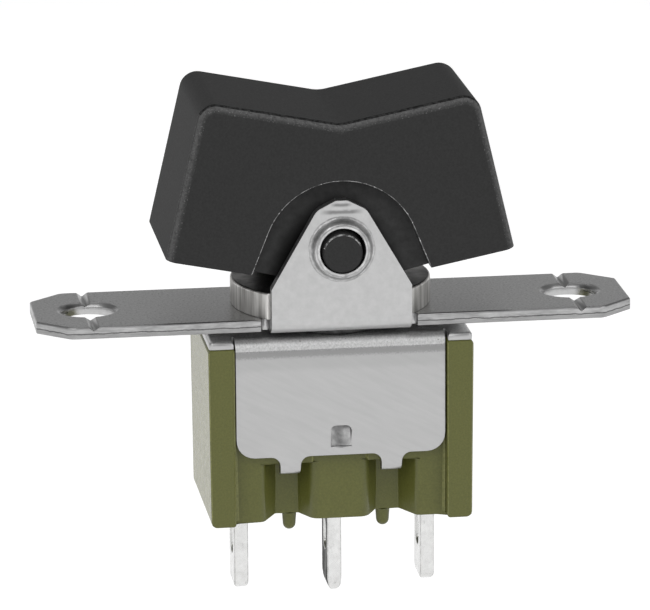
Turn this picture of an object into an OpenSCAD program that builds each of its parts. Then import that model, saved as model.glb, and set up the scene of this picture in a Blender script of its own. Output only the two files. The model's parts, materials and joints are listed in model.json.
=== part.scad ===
// Miniature panel rocker switch on a two-hole mounting bracket, in its centre position.
// Lengths are in millimetres. The origin is the centre of the bracket strap's top face,
// X runs along the strap, Y along the rocker's pivot and Z up.

/* [Mounting bracket] */
// Distance of each screw hole from the strap's end
end_margin = 2.72; // [2.5:0.02:3.2]
// Width of the strap
strap_width = 6.9; // [6.7:0.1:7.2]
// Thickness of the bracket sheet
bracket_t = 0.6; // [0.5:0.05:0.75]
// Chamfer across each corner of the strap, along its width
end_chamfer = 1.45; // [0.8:0.05:1.9]
// Chamfer across each corner of the strap, along its length
end_chamfer_run = 1.6; // [1:0.05:1.8]
// Radius of each corner at the strap's ends
strap_corner_r = 0.2; // [0.1:0.05:0.4]
// Radius where a chamfer meets the strap's side
strap_shoulder_r = 0.6; // [0.2:0.05:0.8]
// Distance between the two screw holes
screw_pitch = 24.15; // [22.5:0.05:25]
// Radius of a screw hole
screw_hole_r = 1.3; // [1.1:0.05:1.5]
// How much the rolled rim widens a screw hole at the top face
screw_rim = 0.18; // [0.1:0.02:0.3]
// Width of the V groove across each screw hole
groove_w = 0.55; // [0.3:0.05:0.8]
// Depth of the V groove
groove_depth = 0.22; // [0.1:0.02:0.35]
// Width of an ear at its foot
ear_width = 6.94; // [6.2:0.02:7.2]
// Height of an ear's tip above the pivot hole's centre
ear_cap = 2.44; // [2.2:0.02:2.7]
// Width of the flat on an ear's tip
ear_tip_w = 0.56; // [0.4:0.02:0.8]
// Slope of the facets beside the tip, in degrees
ear_tip_slope = 27; // [22:1:32]
// Height above the pivot hole's centre where an ear's two sides would meet
ear_apex = 4.09; // [3.9:0.01:4.2]
// Slant of an ear's sides from upright
ear_slant = 30; // [27:1:32]
// Radius at the ends of an ear's tip
ear_tip_r = 0.25; // [0.1:0.05:0.3]
// Radius where the facets meet an ear's sides
ear_facet_r = 0.8; // [0.3:0.1:1]
// Radius of an ear's shoulders
ear_shoulder_r = 0.15; // [0.05:0.05:0.4]
// Inside radius of the bend below an ear
ear_bend_r = 0.15; // [0.1:0.01:0.2]
// Height of the pressed collar round an ear's pivot hole
ear_collar_h = 0.45; // [0.3:0.05:0.6]
// Wall of the pressed collar at its foot
ear_collar_foot = 0.44; // [0.35:0.02:0.55]
// Wall of the pressed collar at its rim
ear_collar_rim = 0.2; // [0.12:0.02:0.3]
// Width of the relief notch beside an ear
notch_w = 0.4; // [0.3:0.05:0.6]
// Depth of the relief notch into the strap
notch_depth = 0.35; // [0.2:0.05:0.5]

/* [Rocker] */
// Length of the rocker between its lower corners
rocker_length = 17.16; // [16.4:0.02:18]
// Length of the rocker between its upper corners
rocker_top_length = 13.96; // [13:0.02:14.4]
// Width of the rocker
rocker_width = 8.7; // [8.6:0.05:9.2]
// Height of the pivot above the strap
pivot_z = 3.66; // [3.5:0.02:3.9]
// Height of the upper corners above the pivot
rocker_rise = 7.42; // [7:0.02:8]
// Depth of the valley between the upper corners
valley_depth = 1.38; // [1.1:0.02:1.7]
// Height of the lower corners above the belly's middle
belly_rise = 1.92; // [1.86:0.02:2.1]
// Radius of the rocker's ends, seen from the front
rocker_end_r = 0.9; // [0.7:0.05:1.2]
// Radius of the rocker's other edges
rocker_edge_r = 0.5; // [0.3:0.05:0.6]
// Height of the arched recess's crown above the pivot
arch_rise = 3.38; // [3.2:0.02:3.6]
// Radius of the arched recess's crown
arch_r = 3.84; // [3.6:0.02:4]
// Flare of the arched recess below its round crown
arch_flare = 21; // [18:0.5:24]
// Radius of a pivot boss
boss_r = 1.05; // [0.95:0.01:1.15]
// Radius of the dimple in a boss's end
boss_dimple_r = 0.55; // [0.4:0.05:0.7]
// Depth of the dimple in a boss's end
boss_dimple_depth = 0.12; // [0.05:0.01:0.2]
// Chamfer round a boss's end
boss_chamfer = 0.07; // [0.05:0.01:0.2]
// Length of each cored pocket under the rocker
core_length = 3.7; // [3:0.1:3.9]
// Width of each cored pocket
core_width = 3.4; // [2.8:0.1:3.8]
// Thickness of the skin above each cored pocket
core_skin = 2.6; // [2:0.1:3.2]
// Distance of each cored pocket from the middle
core_start = 1.75; // [1.5:0.05:2]
// Swing of the rocker to each side, in degrees
throw_angle = 12; // [10:0.5:12]

/* [Bushing] */
// Radius of the bushing's collar
collar_r = 4.97; // [4.7:0.01:5.2]
// Height of the collar above the strap
collar_h = 1.35; // [1.2:0.01:1.4]
// Distance between the collar's flats
collar_flats = 6.92; // [6.7:0.02:7.1]
// Radius of the collar's upper rim
collar_rim_r = 0.14; // [0.08:0.02:0.3]
// Radius of the shank through the bracket and the cover
shank_r = 2.4; // [2.3:0.05:2.5]
// Radius of the staked flange below the cover
stake_r = 2.8; // [2.65:0.05:2.85]
// Thickness of the staked flange
stake_t = 0.5; // [0.35:0.05:0.6]
// Outer radius of the spacer washer
washer_r = 3.3; // [3:0.05:3.4]
// Thickness of the spacer washer
washer_t = 0.3; // [0.2:0.05:0.5]

/* [Frame cover] */
// Thickness of the cover sheet
frame_t = 0.4; // [0.3:0.05:0.5]
// Inset of the cover's top plate from the case's outside
plate_inset = 0.05; // [0.02:0.01:0.15]
// Depth of each side flange below the top plate's upper face
flange_drop = 6.05; // [5.8:0.05:6.2]
// Radius of the flange's lower corners
flange_corner_r = 0.93; // [0.6:0.01:1.1]
// Outside radius of the fold between top plate and flange
fold_r = 0.7; // [0.6:0.05:0.9]
// Distance of each retaining tab from the middle
tab_x = 2.52; // [2.45:0.01:2.6]
// Width of each retaining tab
tab_w = 1.06; // [0.95:0.01:1.08]
// How much each tab narrows to its foot, on each side
tab_taper = 0.06; // [0.02:0.01:0.1]
// Radius at the root of each tab
tab_root_r = 0.45; // [0.2:0.05:0.5]
// Inside radius of each tab's hook
hook_r = 0.12; // [0.08:0.01:0.16]
// Bend of each tab's hook, in degrees
hook_angle = 75; // [60:1:85]
// Length of each hook's straight tip
hook_tip = 0.25; // [0.15:0.05:0.4]
// Width of the pressed detent in each flange
detent_w = 1.0; // [0.8:0.05:1.2]
// Height of the pressed detent
detent_h = 1.05; // [0.8:0.05:1.2]
// Height of the detent's foot above the flange's lower edge
detent_foot = 0.45; // [0.35:0.05:0.7]
// Inward press of the detent's free edge
detent_press = 0.36; // [0.2:0.02:0.45]

/* [Case] */
// Length of the case
case_length = 13.0; // [12.9:0.05:13.4]
// Width of the case over its corner pillars
case_width = 8.08; // [8.06:0.02:8.4]
// Height of the case
case_height = 9.07; // [8.7:0.01:9.4]
// How far the case widens at its top, to each end
case_draft = 0.07; // [0:0.01:0.1]
// Width of each corner pillar
pillar_w = 1.23; // [1.1:0.01:1.3]
// How far the pillars stand out from the side fields
pillar_proud = 0.66; // [0.55:0.01:0.75]
// Radius of the case's lower corners
case_corner_r = 0.3; // [0.2:0.05:0.5]
// Radius of the pillars' inner lower corners
pillar_foot_r = 0.15; // [0.05:0.05:0.3]
// Distance of the ledge over each groove below the flange's lower edge
ledge_drop = 0.45; // [0.3:0.05:0.5]
// Depth of the grooves into the side fields
side_groove_depth = 1.38; // [1.1:0.02:1.45]
// Width of the grooves at their floor
side_groove_w = 1.13; // [1.08:0.01:1.3]
// Slope run of a groove's outer wall
side_groove_run_out = 0.73; // [0.4:0.01:0.8]
// Slope run of a groove's inner wall
side_groove_run_in = 0.6; // [0.3:0.01:0.7]
// Set-back of the middle field below the flange
middle_setback = 0.18; // [0.1:0.02:0.3]
// Corner radius of the middle field beside the grooves
middle_corner_r = 0.55; // [0.3:0.05:0.7]
// Corner radius of the outer fields beside the grooves
outer_corner_r = 0.35; // [0.2:0.05:0.5]
// Width of the contact chamber
chamber_width = 2.9; // [2.85:0.05:3]
// Room in the chamber past the outer terminals
chamber_room = 0.54; // [0.5:0.02:0.7]
// Thickness of the case floor
case_floor = 1.5; // [1.2:0.05:1.8]
// Distance of each stand-off nub from the middle
nub_x = 2.35; // [2.2:0.01:2.5]
// Radius of a stand-off nub
nub_r = 0.4; // [0.3:0.01:0.45]
// Length of a stand-off nub below the case
nub_drop = 0.92; // [0.75:0.01:1.05]

/* [Terminals] */
// Distance between neighbouring terminals
terminal_pitch = 4.7; // [4.5:0.05:4.8]
// Width of a terminal blade
terminal_w = 2.0; // [1.8:0.05:2.1]
// Thickness of a terminal blade
terminal_t = 0.72; // [0.6:0.02:0.8]
// Length of the outer terminals below the case
outer_drop = 4.2; // [3.5:0.05:6]
// Length of the middle terminal below the case
middle_drop = 4.57; // [3.5:0.01:6]
// Radius of a blade's end corners
blade_end_r = 0.65; // [0.4:0.05:0.8]
// Width of the wire eye through a blade
eye_w = 0.9; // [0.7:0.05:1]
// Height of the wire eye through a blade
eye_h = 1.6; // [1.2:0.05:1.9]
// Distance of the wire eye's top below the case
eye_drop = 0.9; // [0.7:0.05:1.2]
// Thickness of the contact pad on an outer terminal
pad_t = 0.5; // [0.4:0.05:0.6]
// Length of the contact pad on an outer terminal
pad_length = 1.4; // [1.3:0.05:1.6]
// Depth of the sealing pocket round each terminal
seal_depth = 0.5; // [0.3:0.05:0.7]
// Margin of the sealing pocket round each blade
seal_margin = 0.5; // [0.3:0.05:0.6]

/* [Contacts] */
// Distance of each contact button from the middle
contact_x = 4.4; // [4.3:0.01:4.5]
// Radius of a fixed contact button
fixed_r = 0.62; // [0.5:0.01:0.65]
// Height of a fixed contact button
fixed_h = 0.3; // [0.2:0.02:0.4]
// Radius of a moving contact tip
tip_r = 0.55; // [0.4:0.01:0.6]
// Height of a moving contact tip
tip_h = 0.3; // [0.2:0.02:0.35]
// Thickness of the moving contact strip
strip_t = 0.3; // [0.25:0.01:0.35]
// Width of the moving contact strip
strip_w = 1.8; // [1.5:0.05:1.85]
// Radius of the dish that the plunger rides in
dish_r = 4.7; // [4.6:0.05:5]
// Half length of the dish
dish_reach = 1.95; // [1.9:0.01:2]
// Gap between the moving contact's wings and the chamber's end walls
wing_gap = 0.66; // [0.6:0.02:0.75]
// Tilt of the moving contact at full swing, in degrees
rock_angle = 4; // [3.5:0.1:4]
// Radius of a trunnion of the moving contact
trunnion_r = 0.3; // [0.25:0.01:0.32]
// Thickness of the cradle sheet
cradle_t = 0.3; // [0.25:0.01:0.32]
// Length of the cradle
cradle_length = 1.7; // [1.5:0.05:2]

/* [Lever and plunger] */
// Height of the lever's pivot pin above the strap
lever_pivot_z = 0.55; // [0.5:0.01:0.6]
// Radius of the lever's pivot pin
pin_r = 0.4; // [0.3:0.01:0.45]
// Radius of the lever's ball
ball_r = 0.92; // [0.85:0.01:0.98]
// Radius of the ball on the lever's upper end
knob_r = 0.55; // [0.5:0.01:0.6]
// Radius of the lever's neck
neck_r = 0.38; // [0.3:0.01:0.4]
// Radius of the lever's lower arm
arm_r = 0.55; // [0.4:0.01:0.6]
// Radius of the actuator
actuator_r = 1.15; // [1.1:0.01:1.2]
// Top of the actuator below the strap's top face
actuator_top = 2.35; // [2.3:0.05:2.5]
// Length of the actuator
actuator_length = 4.25; // [4:0.05:4.4]
// Depth of the lever's arm in the actuator
arm_seat = 0.8; // [0.6:0.05:0.9]
// Radius of the plunger
plunger_r = 0.75; // [0.68:0.01:0.78]
// Radius of the plunger's nose
nose_r = 0.5; // [0.4:0.01:0.52]
// Length of the plunger inside the actuator
plunger_grip = 1.4; // [1.2:0.05:1.6]
// Retraction of the plunger
plunger_travel = 0.3; // [0.2:0.05:0.35]
// Wire diameter of the plunger spring
wire_d = 0.14; // [0.1:0.01:0.16]
// Turns of the plunger spring
spring_turns = 6; // [4:1:7]

/* [Clearances] */
// Running clearance of a boss in its ear
pivot_clearance = 0.08; // [0.04:0.01:0.1]
// Gap between the rocker's recess and an ear
ear_gap = 0.3; // [0.15:0.01:0.4]
// How far an ear stands proud of the rocker's face
ear_proud = 0.02; // [0:0.01:0.1]
// Clearance of the bushing's shank in its holes
shank_clearance = 0.04; // [0.02:0.01:0.08]
// Running clearance of the lever on its pin
pin_clearance = 0.05; // [0.03:0.01:0.08]
// Clearance of the lever's ball in the bushing
ball_clearance = 0.08; // [0.05:0.01:0.1]
// Clearance of the knob in the rocker's slot
knob_clearance = 0.07; // [0.05:0.01:0.1]
// Gap between the belly and the collar at full swing
belly_gap = 0.14; // [0.1:0.01:0.25]
// Sliding clearance of the plunger
plunger_clearance = 0.05; // [0.03:0.01:0.08]
// Running clearance of a trunnion in the cradle
trunnion_clearance = 0.05; // [0.03:0.01:0.08]
// Gap left between touching contacts
touch_gap = 0.03; // [0.02:0.01:0.06]
// Gap between the cover's flange and a pillar
flange_gap = 0.06; // [0.05:0.01:0.15]
// Width of the cuts that free the flanges' folds from the top plate
fold_cut = 0.1; // [0.05:0.01:0.2]

/* [Hidden] */
$fn = 48;

// Segments of each rounded corner in an outline
corner_steps = 6;
// A cut runs this far past the face that it opens
past = 1;
// Pieces of one solid that meet run this far into each other
lap = 0.01;
// A boss is rooted this deep in the rocker
boss_root = 0.5;
// Room past the knob at the ends and the roof of the rocker's slot
slot_room = 0.25;
// Flare of the slot's mouth to each side, and its start below the knob's centre
slot_flare = 0.25;
flare_drop = 0.2;
// Length of the bushing's ball seat above and below the lever's pivot
seat_above = 0.45;
seat_below = 0.85;
// Wall of the bushing's shank at its foot
shank_wall = 0.5;
// The pivot pin ends this far inside the collar's flats
pin_recess = 0.15;
// Room between the cover's fold and the case's top edge
fold_room = 0.05;
// Corner radius of the cover's top plate
plate_corner_r = 0.2;
// Depth of the cuts that free the flanges' folds from the top plate
fold_relief = 1;
// Gap sheared open above the pressed detent
shear_gap = 0.08;
// Radii at a pillar's top, outside and inside
pillar_top_r = 0.2;
pillar_inner_r = 0.1;
// Radius in the corners of a groove's floor
groove_floor_r = 0.1;
// A nub's end is this share of its root
nub_taper = 0.8;
// Room round what sits in a pocket of the case
pocket_room = 0.1;
// Radii of the blades' ends seen from the front
outer_tip_r = 0.15;
middle_tip_r = 0.3;
// Gap between the moving contact and the cradle's cheeks
cheek_gap = 0.1;
// Height of the cheeks above the rocking axis
cheek_rise = 0.15;
// Room between the plunger's nose and the trunnions
nose_room = 0.2;
// Bevel round a contact button
button_bevel = 0.08;
// Wall between the lever's arm and the spring's bore
arm_wall = 0.35;
// Room between the spring and its bore
spring_room = 0.1;
// The plunger's full width ends this far below the actuator
plunger_show = 0.35;

// Colours of the pieces
rocker_colour = "#3a3a3a";
bracket_colour = "#b4b4b4";
cover_colour = "#bcbcbc";
case_colour = "#64683e";
terminal_colour = "#dcdcdc";
brass_colour = "#c9a24c";
silver_colour = "#e6e6e6";
actuator_colour = "#e8e2d0";
seal_colour = "#2a2a26";

// Levels down the stack, from the strap to the case
strap_under = -bracket_t;
frame_top = strap_under - washer_t;
case_top = frame_top - frame_t;
case_bottom = case_top - case_height;
chamber_floor = case_bottom + case_floor;
flange_bottom = frame_top - flange_drop;
ledge_z = flange_bottom - ledge_drop;

// Places along the length
strap_length = screw_pitch + 2 * end_margin;
case_top_x = case_length / 2 + case_draft;

// Places across the width
ear_out_y = rocker_width / 2 + ear_proud;
ear_in_y = ear_out_y - bracket_t;
arch_floor_y = ear_in_y - ear_gap;
pivot_hole_r = boss_r + pivot_clearance;
boss_end_y = ear_out_y + ear_collar_h;
field_y = case_width / 2 - pillar_proud;
flange_out_y = field_y + frame_t;
middle_y = field_y - middle_setback;
side_groove_y = field_y - side_groove_depth;
pillar_in_x = case_length / 2 - pillar_w;
flange_x = pillar_in_x - flange_gap;
chamber_x = terminal_pitch + terminal_t / 2 + chamber_room;

// Corners of an ear's outline: tip, foot of the facets beside it, and shoulders
ear_top_z = pivot_z + ear_cap;
ear_apex_z = pivot_z + ear_apex;
ear_facet_fall = tan(ear_tip_slope);
ear_facet_x = (ear_apex - ear_cap - ear_tip_w / 2 * ear_facet_fall)
    / (1 / tan(ear_slant) - ear_facet_fall);
ear_facet_z = ear_apex_z - ear_facet_x / tan(ear_slant);
ear_shoulder_z = ear_apex_z - ear_width / 2 / tan(ear_slant);

// The belly's keel clears the collar at full swing
belly_depth = (pivot_z - collar_h - belly_gap) / cos(throw_angle);
belly_z = pivot_z - belly_depth;
belly_slope = belly_rise / (rocker_length / 2);
valley_slope = valley_depth / (rocker_top_length / 2);

// Contact geometry: the wings lie level on the fixed buttons at full tilt
dish_sag = dish_r - sqrt(dish_r * dish_r - dish_reach * dish_reach);
closed_root_x = dish_reach * cos(rock_angle) + dish_sag * sin(rock_angle);
closed_tip_z = dish_sag * cos(rock_angle) - dish_reach * sin(rock_angle) - strip_t / 2 - tip_h;
tip_on_wing = contact_x - closed_root_x;
wing_length = chamber_x - wing_gap - dish_reach;
fixed_top = chamber_floor + pad_t + fixed_h;
rock_axis_z = fixed_top + touch_gap - closed_tip_z;
nose_z = rock_axis_z + strip_t / 2 + touch_gap;

// The lever's knob sits midway between both pivots, so lever and rocker turn alike
knob_z = (pivot_z + lever_pivot_z) / 2;
actuator_top_z = -actuator_top;
actuator_bottom_z = actuator_top_z - actuator_length;
plunger_top_z = actuator_bottom_z + plunger_grip;
spring_seat_z = actuator_top_z - arm_seat - arm_wall;
spring_r = plunger_r - wire_d / 2 - spring_room;

function unit(v) = v / norm(v);

// Arc of radius r that rounds the corner b between its neighbours a and c
function corner_arc(a, b, c, r) =
    let (u = unit(a - b), w = unit(c - b), half = acos(u * w) / 2)
    let (centre = b + unit(u + w) * r / sin(half))
    let (from = b + u * r / tan(half) - centre, to = b + w * r / tan(half) - centre)
    let (start = atan2(from[1], from[0]), turn = atan2(to[1], to[0]) - start)
    let (sweep = (turn + 540) % 360 - 180)
    [for (i = [0 : corner_steps]) centre + r * [
        cos(start + sweep * i / corner_steps), sin(start + sweep * i / corner_steps)]];

// Outline through corners given as [x, y, radius]
function rounded(corners) =
    let (n = len(corners), at = [for (c = corners) [c[0], c[1]]])
    [for (i = [0 : n - 1]) each corners[i][2] > 0
        ? corner_arc(at[(i + n - 1) % n], at[i], at[(i + 1) % n], corners[i][2])
        : [at[i]]];

// Outline whose given right half is repeated on the left
function both_sides(right) = concat(
    right, [for (i = [len(right) - 1 : -1 : 0]) [-right[i][0], right[i][1], right[i][2]]]);

// Outline in X and Z, drawn out along Y
module along_y(low, high) {
    translate([0, high, 0])
        rotate([90, 0, 0])
            linear_extrude(high - low)
                children();
}

// Outline in Y and Z, drawn out along X
module along_x(low, high) {
    translate([low, 0, 0])
        rotate([90, 0, 90])
            linear_extrude(high - low)
                children();
}

// The same feature on the near and the far side
module near_and_far() {
    children();
    mirror([0, 1, 0]) children();
}

// The same feature on the left and the right side
module left_and_right() {
    children();
    mirror([1, 0, 0]) children();
}

// Box between two corners
module box(low, high) {
    translate(low) cube(high - low);
}

// Round bar along Y at a given place
module bar_y(x, z, r, low, high) {
    translate([x, high, z])
        rotate([90, 0, 0])
            cylinder(h = high - low, r = r);
}

// Quarter and lesser bends: ring sector about a point, from one angle to another
module bend(centre, inner, outer, start, sweep) {
    reach = 2 * outer;
    translate(centre)
        intersection() {
            difference() {
                circle(r = outer);
                circle(r = inner);
            }
            polygon([[0, 0],
                reach * [cos(start), sin(start)],
                reach * [cos(start + sweep / 2), sin(start + sweep / 2)],
                reach * [cos(start + sweep), sin(start + sweep)]]);
        }
}

// Mounting bracket

module strap_plate() {
    x = strap_length / 2;
    y = strap_width / 2;
    end_y = y - end_chamfer;
    side_x = x - end_chamfer_run;
    right = [[side_x, -y, strap_shoulder_r], [x, -end_y, strap_corner_r],
        [x, end_y, strap_corner_r], [side_x, y, strap_shoulder_r]];
    translate([0, 0, strap_under])
        linear_extrude(bracket_t)
            polygon(rounded(both_sides(right)));
}

// Sheet of the near ear in Y and Z: it leaves the strap flat and turns up
module ear_sheet() {
    bend_y = -(ear_in_y - ear_bend_r);
    translate([-ear_out_y, ear_bend_r])
        square([bracket_t, ear_top_z]);
    bend([bend_y, ear_bend_r], ear_bend_r, ear_bend_r + bracket_t, 180, 90);
    translate([bend_y, strap_under])
        square([strap_width / 2 + bend_y + bracket_t + notch_depth, bracket_t]);
}

module ear() {
    foot = ear_width / 2;
    difference() {
        union() {
            intersection() {
                along_x(-foot, foot) ear_sheet();
                along_y(-ear_out_y, 0)
                    polygon(rounded(both_sides([
                        [foot, strap_under, 0], [foot, ear_shoulder_z, ear_shoulder_r],
                        [ear_facet_x, ear_facet_z, ear_facet_r],
                        [ear_tip_w / 2, ear_top_z, ear_tip_r]])));
            }
            translate([0, -ear_out_y, pivot_z])
                rotate([90, 0, 0])
                    cylinder(h = ear_collar_h, r1 = pivot_hole_r + ear_collar_foot,
                        r2 = pivot_hole_r + ear_collar_rim);
        }
        bar_y(0, pivot_z, pivot_hole_r, -ear_out_y - past, -ear_in_y + past);
    }
}

module relief_notch() {
    x = ear_width / 2 + notch_w / 2;
    y = -strap_width / 2;
    translate([x, y + notch_depth - notch_w / 2, strap_under - past])
        cylinder(h = bracket_t + 2 * past, r = notch_w / 2);
    box([x - notch_w / 2, y - past, strap_under - past],
        [x + notch_w / 2, y + notch_depth - notch_w / 2, past]);
}

// Screw hole with its rolled rim and the V groove that crosses it
module screw_cut() {
    translate([screw_pitch / 2, 0, 0]) {
        translate([0, 0, strap_under - past])
            cylinder(h = bracket_t + 2 * past, r = screw_hole_r);
        translate([0, 0, -screw_rim])
            cylinder(h = 2 * screw_rim, r1 = screw_hole_r, r2 = screw_hole_r + 2 * screw_rim);
        along_y(-strap_width, strap_width)
            polygon([[-groove_w, groove_depth], [groove_w, groove_depth], [0, -groove_depth]]);
    }
}

module mounting_bracket() {
    color(bracket_colour)
        difference() {
            union() {
                strap_plate();
                near_and_far() ear();
            }
            translate([0, 0, strap_under - past])
                cylinder(h = bracket_t + 2 * past, r = shank_r + shank_clearance);
            left_and_right() screw_cut();
            left_and_right() near_and_far() relief_notch();
        }
}

// Rocker

// Ring about Y that rounds an upper corner: large seen from the front, smaller across its rim
module end_round() {
    rotate([90, 0, 0])
        rotate_extrude($fn = 36)
            intersection() {
                translate([rocker_end_r - rocker_edge_r, 0]) circle(r = rocker_edge_r, $fn = 24);
                translate([0, -rocker_edge_r]) square([rocker_end_r, 2 * rocker_edge_r]);
            }
}

// One half of the rocker's body, from the middle outwards: rounded at the top and at its
// upright edges, and cut to a sharp edge by the belly's plane
module rocker_half() {
    over = 2;
    top = pivot_z + rocker_rise - rocker_end_r;
    top_x = rocker_top_length / 2 - rocker_end_r;
    end_slant = (rocker_length - rocker_top_length) / 2 / (top - belly_z - belly_rise);
    low_x = rocker_length / 2 - rocker_edge_r + end_slant * belly_rise;
    y = rocker_width / 2 - rocker_edge_r;
    intersection() {
        hull()
            near_and_far() {
                translate([top_x, y, top]) end_round();
                translate([-over, y, top - valley_slope * (top_x + over)]) end_round();
                translate([low_x, y, belly_z]) cylinder(h = lap, r = rocker_edge_r, $fn = 24);
                translate([-over, y, belly_z]) cylinder(h = lap, r = rocker_edge_r, $fn = 24);
            }
        along_y(-rocker_width, rocker_width)
            polygon([[0, belly_z], [rocker_length, belly_z + belly_slope * rocker_length],
                [rocker_length, top + past], [0, top + past]]);
    }
}

// Arched recess for the near ear: round over the pivot, flaring to the belly
module arch_cut() {
    centre_z = arch_rise - arch_r;
    side_x = arch_r * cos(arch_flare);
    side_z = centre_z + arch_r * sin(arch_flare);
    foot_z = -belly_depth - past;
    foot_x = side_x + (side_z - foot_z) * tan(arch_flare);
    translate([0, 0, pivot_z])
        along_y(-rocker_width, -arch_floor_y) {
            translate([0, centre_z]) circle(r = arch_r, $fn = 96);
            polygon([[side_x, side_z], [foot_x, foot_z], [-foot_x, foot_z], [-side_x, side_z]]);
        }
}

// Pivot boss with a chamfered end and a dimple
module boss() {
    difference() {
        union() {
            bar_y(0, pivot_z, boss_r, boss_chamfer - boss_end_y, boss_root - arch_floor_y);
            translate([0, boss_chamfer - boss_end_y, pivot_z])
                rotate([90, 0, 0])
                    cylinder(h = boss_chamfer, r1 = boss_r, r2 = boss_r - boss_chamfer);
        }
        bar_y(0, pivot_z, boss_dimple_r, -boss_end_y - past, boss_dimple_depth - boss_end_y);
    }
}

// Cored pocket under one half of the rocker
module core_cut() {
    roof = pivot_z + rocker_rise - valley_depth - core_skin;
    end = core_start + core_length;
    along_y(-core_width / 2, core_width / 2)
        polygon([[core_start, -past], [end, -past], [end, roof + valley_slope * end],
            [core_start, roof + valley_slope * core_start]]);
}

// Slot that takes the lever's knob, flared at its mouth for the lever's neck
module knob_slot() {
    half = knob_r + knob_clearance;
    mouth = half + slot_flare;
    roof_z = knob_z + knob_r + slot_room;
    along_y(-half - slot_room, half + slot_room)
        polygon(rounded(both_sides([
            [mouth, -past, 0], [mouth, belly_z, 0], [half, knob_z - flare_drop, 0], [half, roof_z, 0]])));
}

module rocker_button() {
    color(rocker_colour) {
        difference() {
            left_and_right() rocker_half();
            near_and_far() arch_cut();
            left_and_right() core_cut();
            knob_slot();
        }
        near_and_far() boss();
    }
}

// Bushing, washer and pivot pin

module bushing() {
    seat_r = ball_r + ball_clearance;
    neck_z = lever_pivot_z + seat_above;
    throat_z = lever_pivot_z - seat_below;
    foot_z = case_top - stake_t;
    color(bracket_colour)
        difference() {
            union() {
                intersection() {
                    rotate_extrude()
                        polygon(rounded([[0, 0, 0], [collar_r, 0, 0],
                            [collar_r, collar_h, collar_rim_r], [0, collar_h, 0]]));
                    box([-collar_r, -collar_flats / 2, -past], [collar_r, collar_flats / 2, collar_h + past]);
                }
                translate([0, 0, foot_z])
                    cylinder(h = -foot_z, r = shank_r);
                translate([0, 0, foot_z])
                    cylinder(h = stake_t, r = stake_r);
            }
            translate([0, 0, throat_z])
                cylinder(h = neck_z - throat_z, r = seat_r);
            translate([0, 0, neck_z])
                cylinder(h = collar_h - neck_z, r1 = seat_r, r2 = seat_r + collar_h - neck_z);
            translate([0, 0, foot_z])
                cylinder(h = throat_z - foot_z, r1 = shank_r - shank_wall, r2 = seat_r);
            bar_y(0, lever_pivot_z, pin_r, -collar_r, collar_r);
        }
}

module spacer_washer() {
    color(bracket_colour)
        translate([0, 0, frame_top])
            difference() {
                cylinder(h = washer_t, r = washer_r);
                translate([0, 0, -past])
                    cylinder(h = washer_t + 2 * past, r = shank_r + shank_clearance);
            }
}

module pivot_pin() {
    half = collar_flats / 2 - pin_recess;
    color(silver_colour)
        bar_y(0, lever_pivot_z, pin_r, -half, half);
}

// Frame cover

// Sheet of the cover in Y and Z on the near side: plate, fold, flange and hook
module cover_sheet() {
    fold_y = -(flange_out_y - fold_r);
    fold_z = frame_top - fold_r;
    hook_y = -(field_y - hook_r);
    translate([fold_y - lap, case_top])
        square([lap - fold_y, frame_t]);
    bend([fold_y, fold_z], fold_r - frame_t, fold_r, 90, 90);
    translate([-flange_out_y, ledge_z - lap])
        square([frame_t, fold_z - ledge_z + 2 * lap]);
    bend([hook_y, ledge_z], hook_r, hook_r + frame_t, 180, hook_angle);
    translate([hook_y, ledge_z])
        rotate(180 + hook_angle)
            translate([hook_r, -lap])
                square([frame_t, hook_tip + lap]);
}

// Front outline of a flange with its two tabs
function flange_outline() =
    let (x = flange_x, tab_in = tab_x - tab_w / 2, tab_out = tab_x + tab_w / 2)
    let (foot = ledge_z - 3 * frame_t)
    both_sides([
        [tab_in, flange_bottom, tab_root_r], [tab_in + tab_taper, foot, 0],
        [tab_out - tab_taper, foot, 0], [tab_out, flange_bottom, tab_root_r],
        [x, flange_bottom, flange_corner_r], [x, frame_top, 0]]);

// Pressed tongue of the near flange: its foot is flush and its top edge stands inwards
module detent_tongue() {
    foot_z = flange_bottom + detent_foot;
    top_z = foot_z + detent_h - shear_gap;
    along_x(-detent_w / 2 - lap, detent_w / 2 + lap)
        polygon([[-flange_out_y, foot_z - lap], [-field_y, foot_z - lap],
            [detent_press - field_y, top_z], [detent_press - flange_out_y, top_z]]);
}

module detent_window() {
    foot_z = flange_bottom + detent_foot;
    box([-detent_w / 2, -flange_out_y - past, foot_z],
        [detent_w / 2, -field_y + past, foot_z + detent_h]);
}

module frame_cover() {
    wing_x = flange_x + fold_cut;
    x = case_top_x - plate_inset;
    y = case_width / 2 - plate_inset;
    color(cover_colour)
        difference() {
            union() {
                difference() {
                    near_and_far()
                        intersection() {
                            along_x(-flange_x, flange_x) cover_sheet();
                            along_y(-case_width, 0) polygon(rounded(flange_outline()));
                        }
                    near_and_far() detent_window();
                }
                translate([0, 0, case_top])
                    linear_extrude(frame_t)
                        polygon(rounded([
                            [x, -y, plate_corner_r], [x, y, plate_corner_r],
                            [wing_x, y, 0], [wing_x, y - fold_relief, 0],
                            [-wing_x, y - fold_relief, 0], [-wing_x, y, 0],
                            [-x, y, plate_corner_r], [-x, -y, plate_corner_r],
                            [-wing_x, -y, 0], [-wing_x, fold_relief - y, 0],
                            [wing_x, fold_relief - y, 0], [wing_x, -y, 0]]));
                near_and_far() detent_tongue();
            }
            translate([0, 0, case_top - past])
                cylinder(h = frame_t + 2 * past, r = shank_r + shank_clearance);
        }
}

// Case

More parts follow.
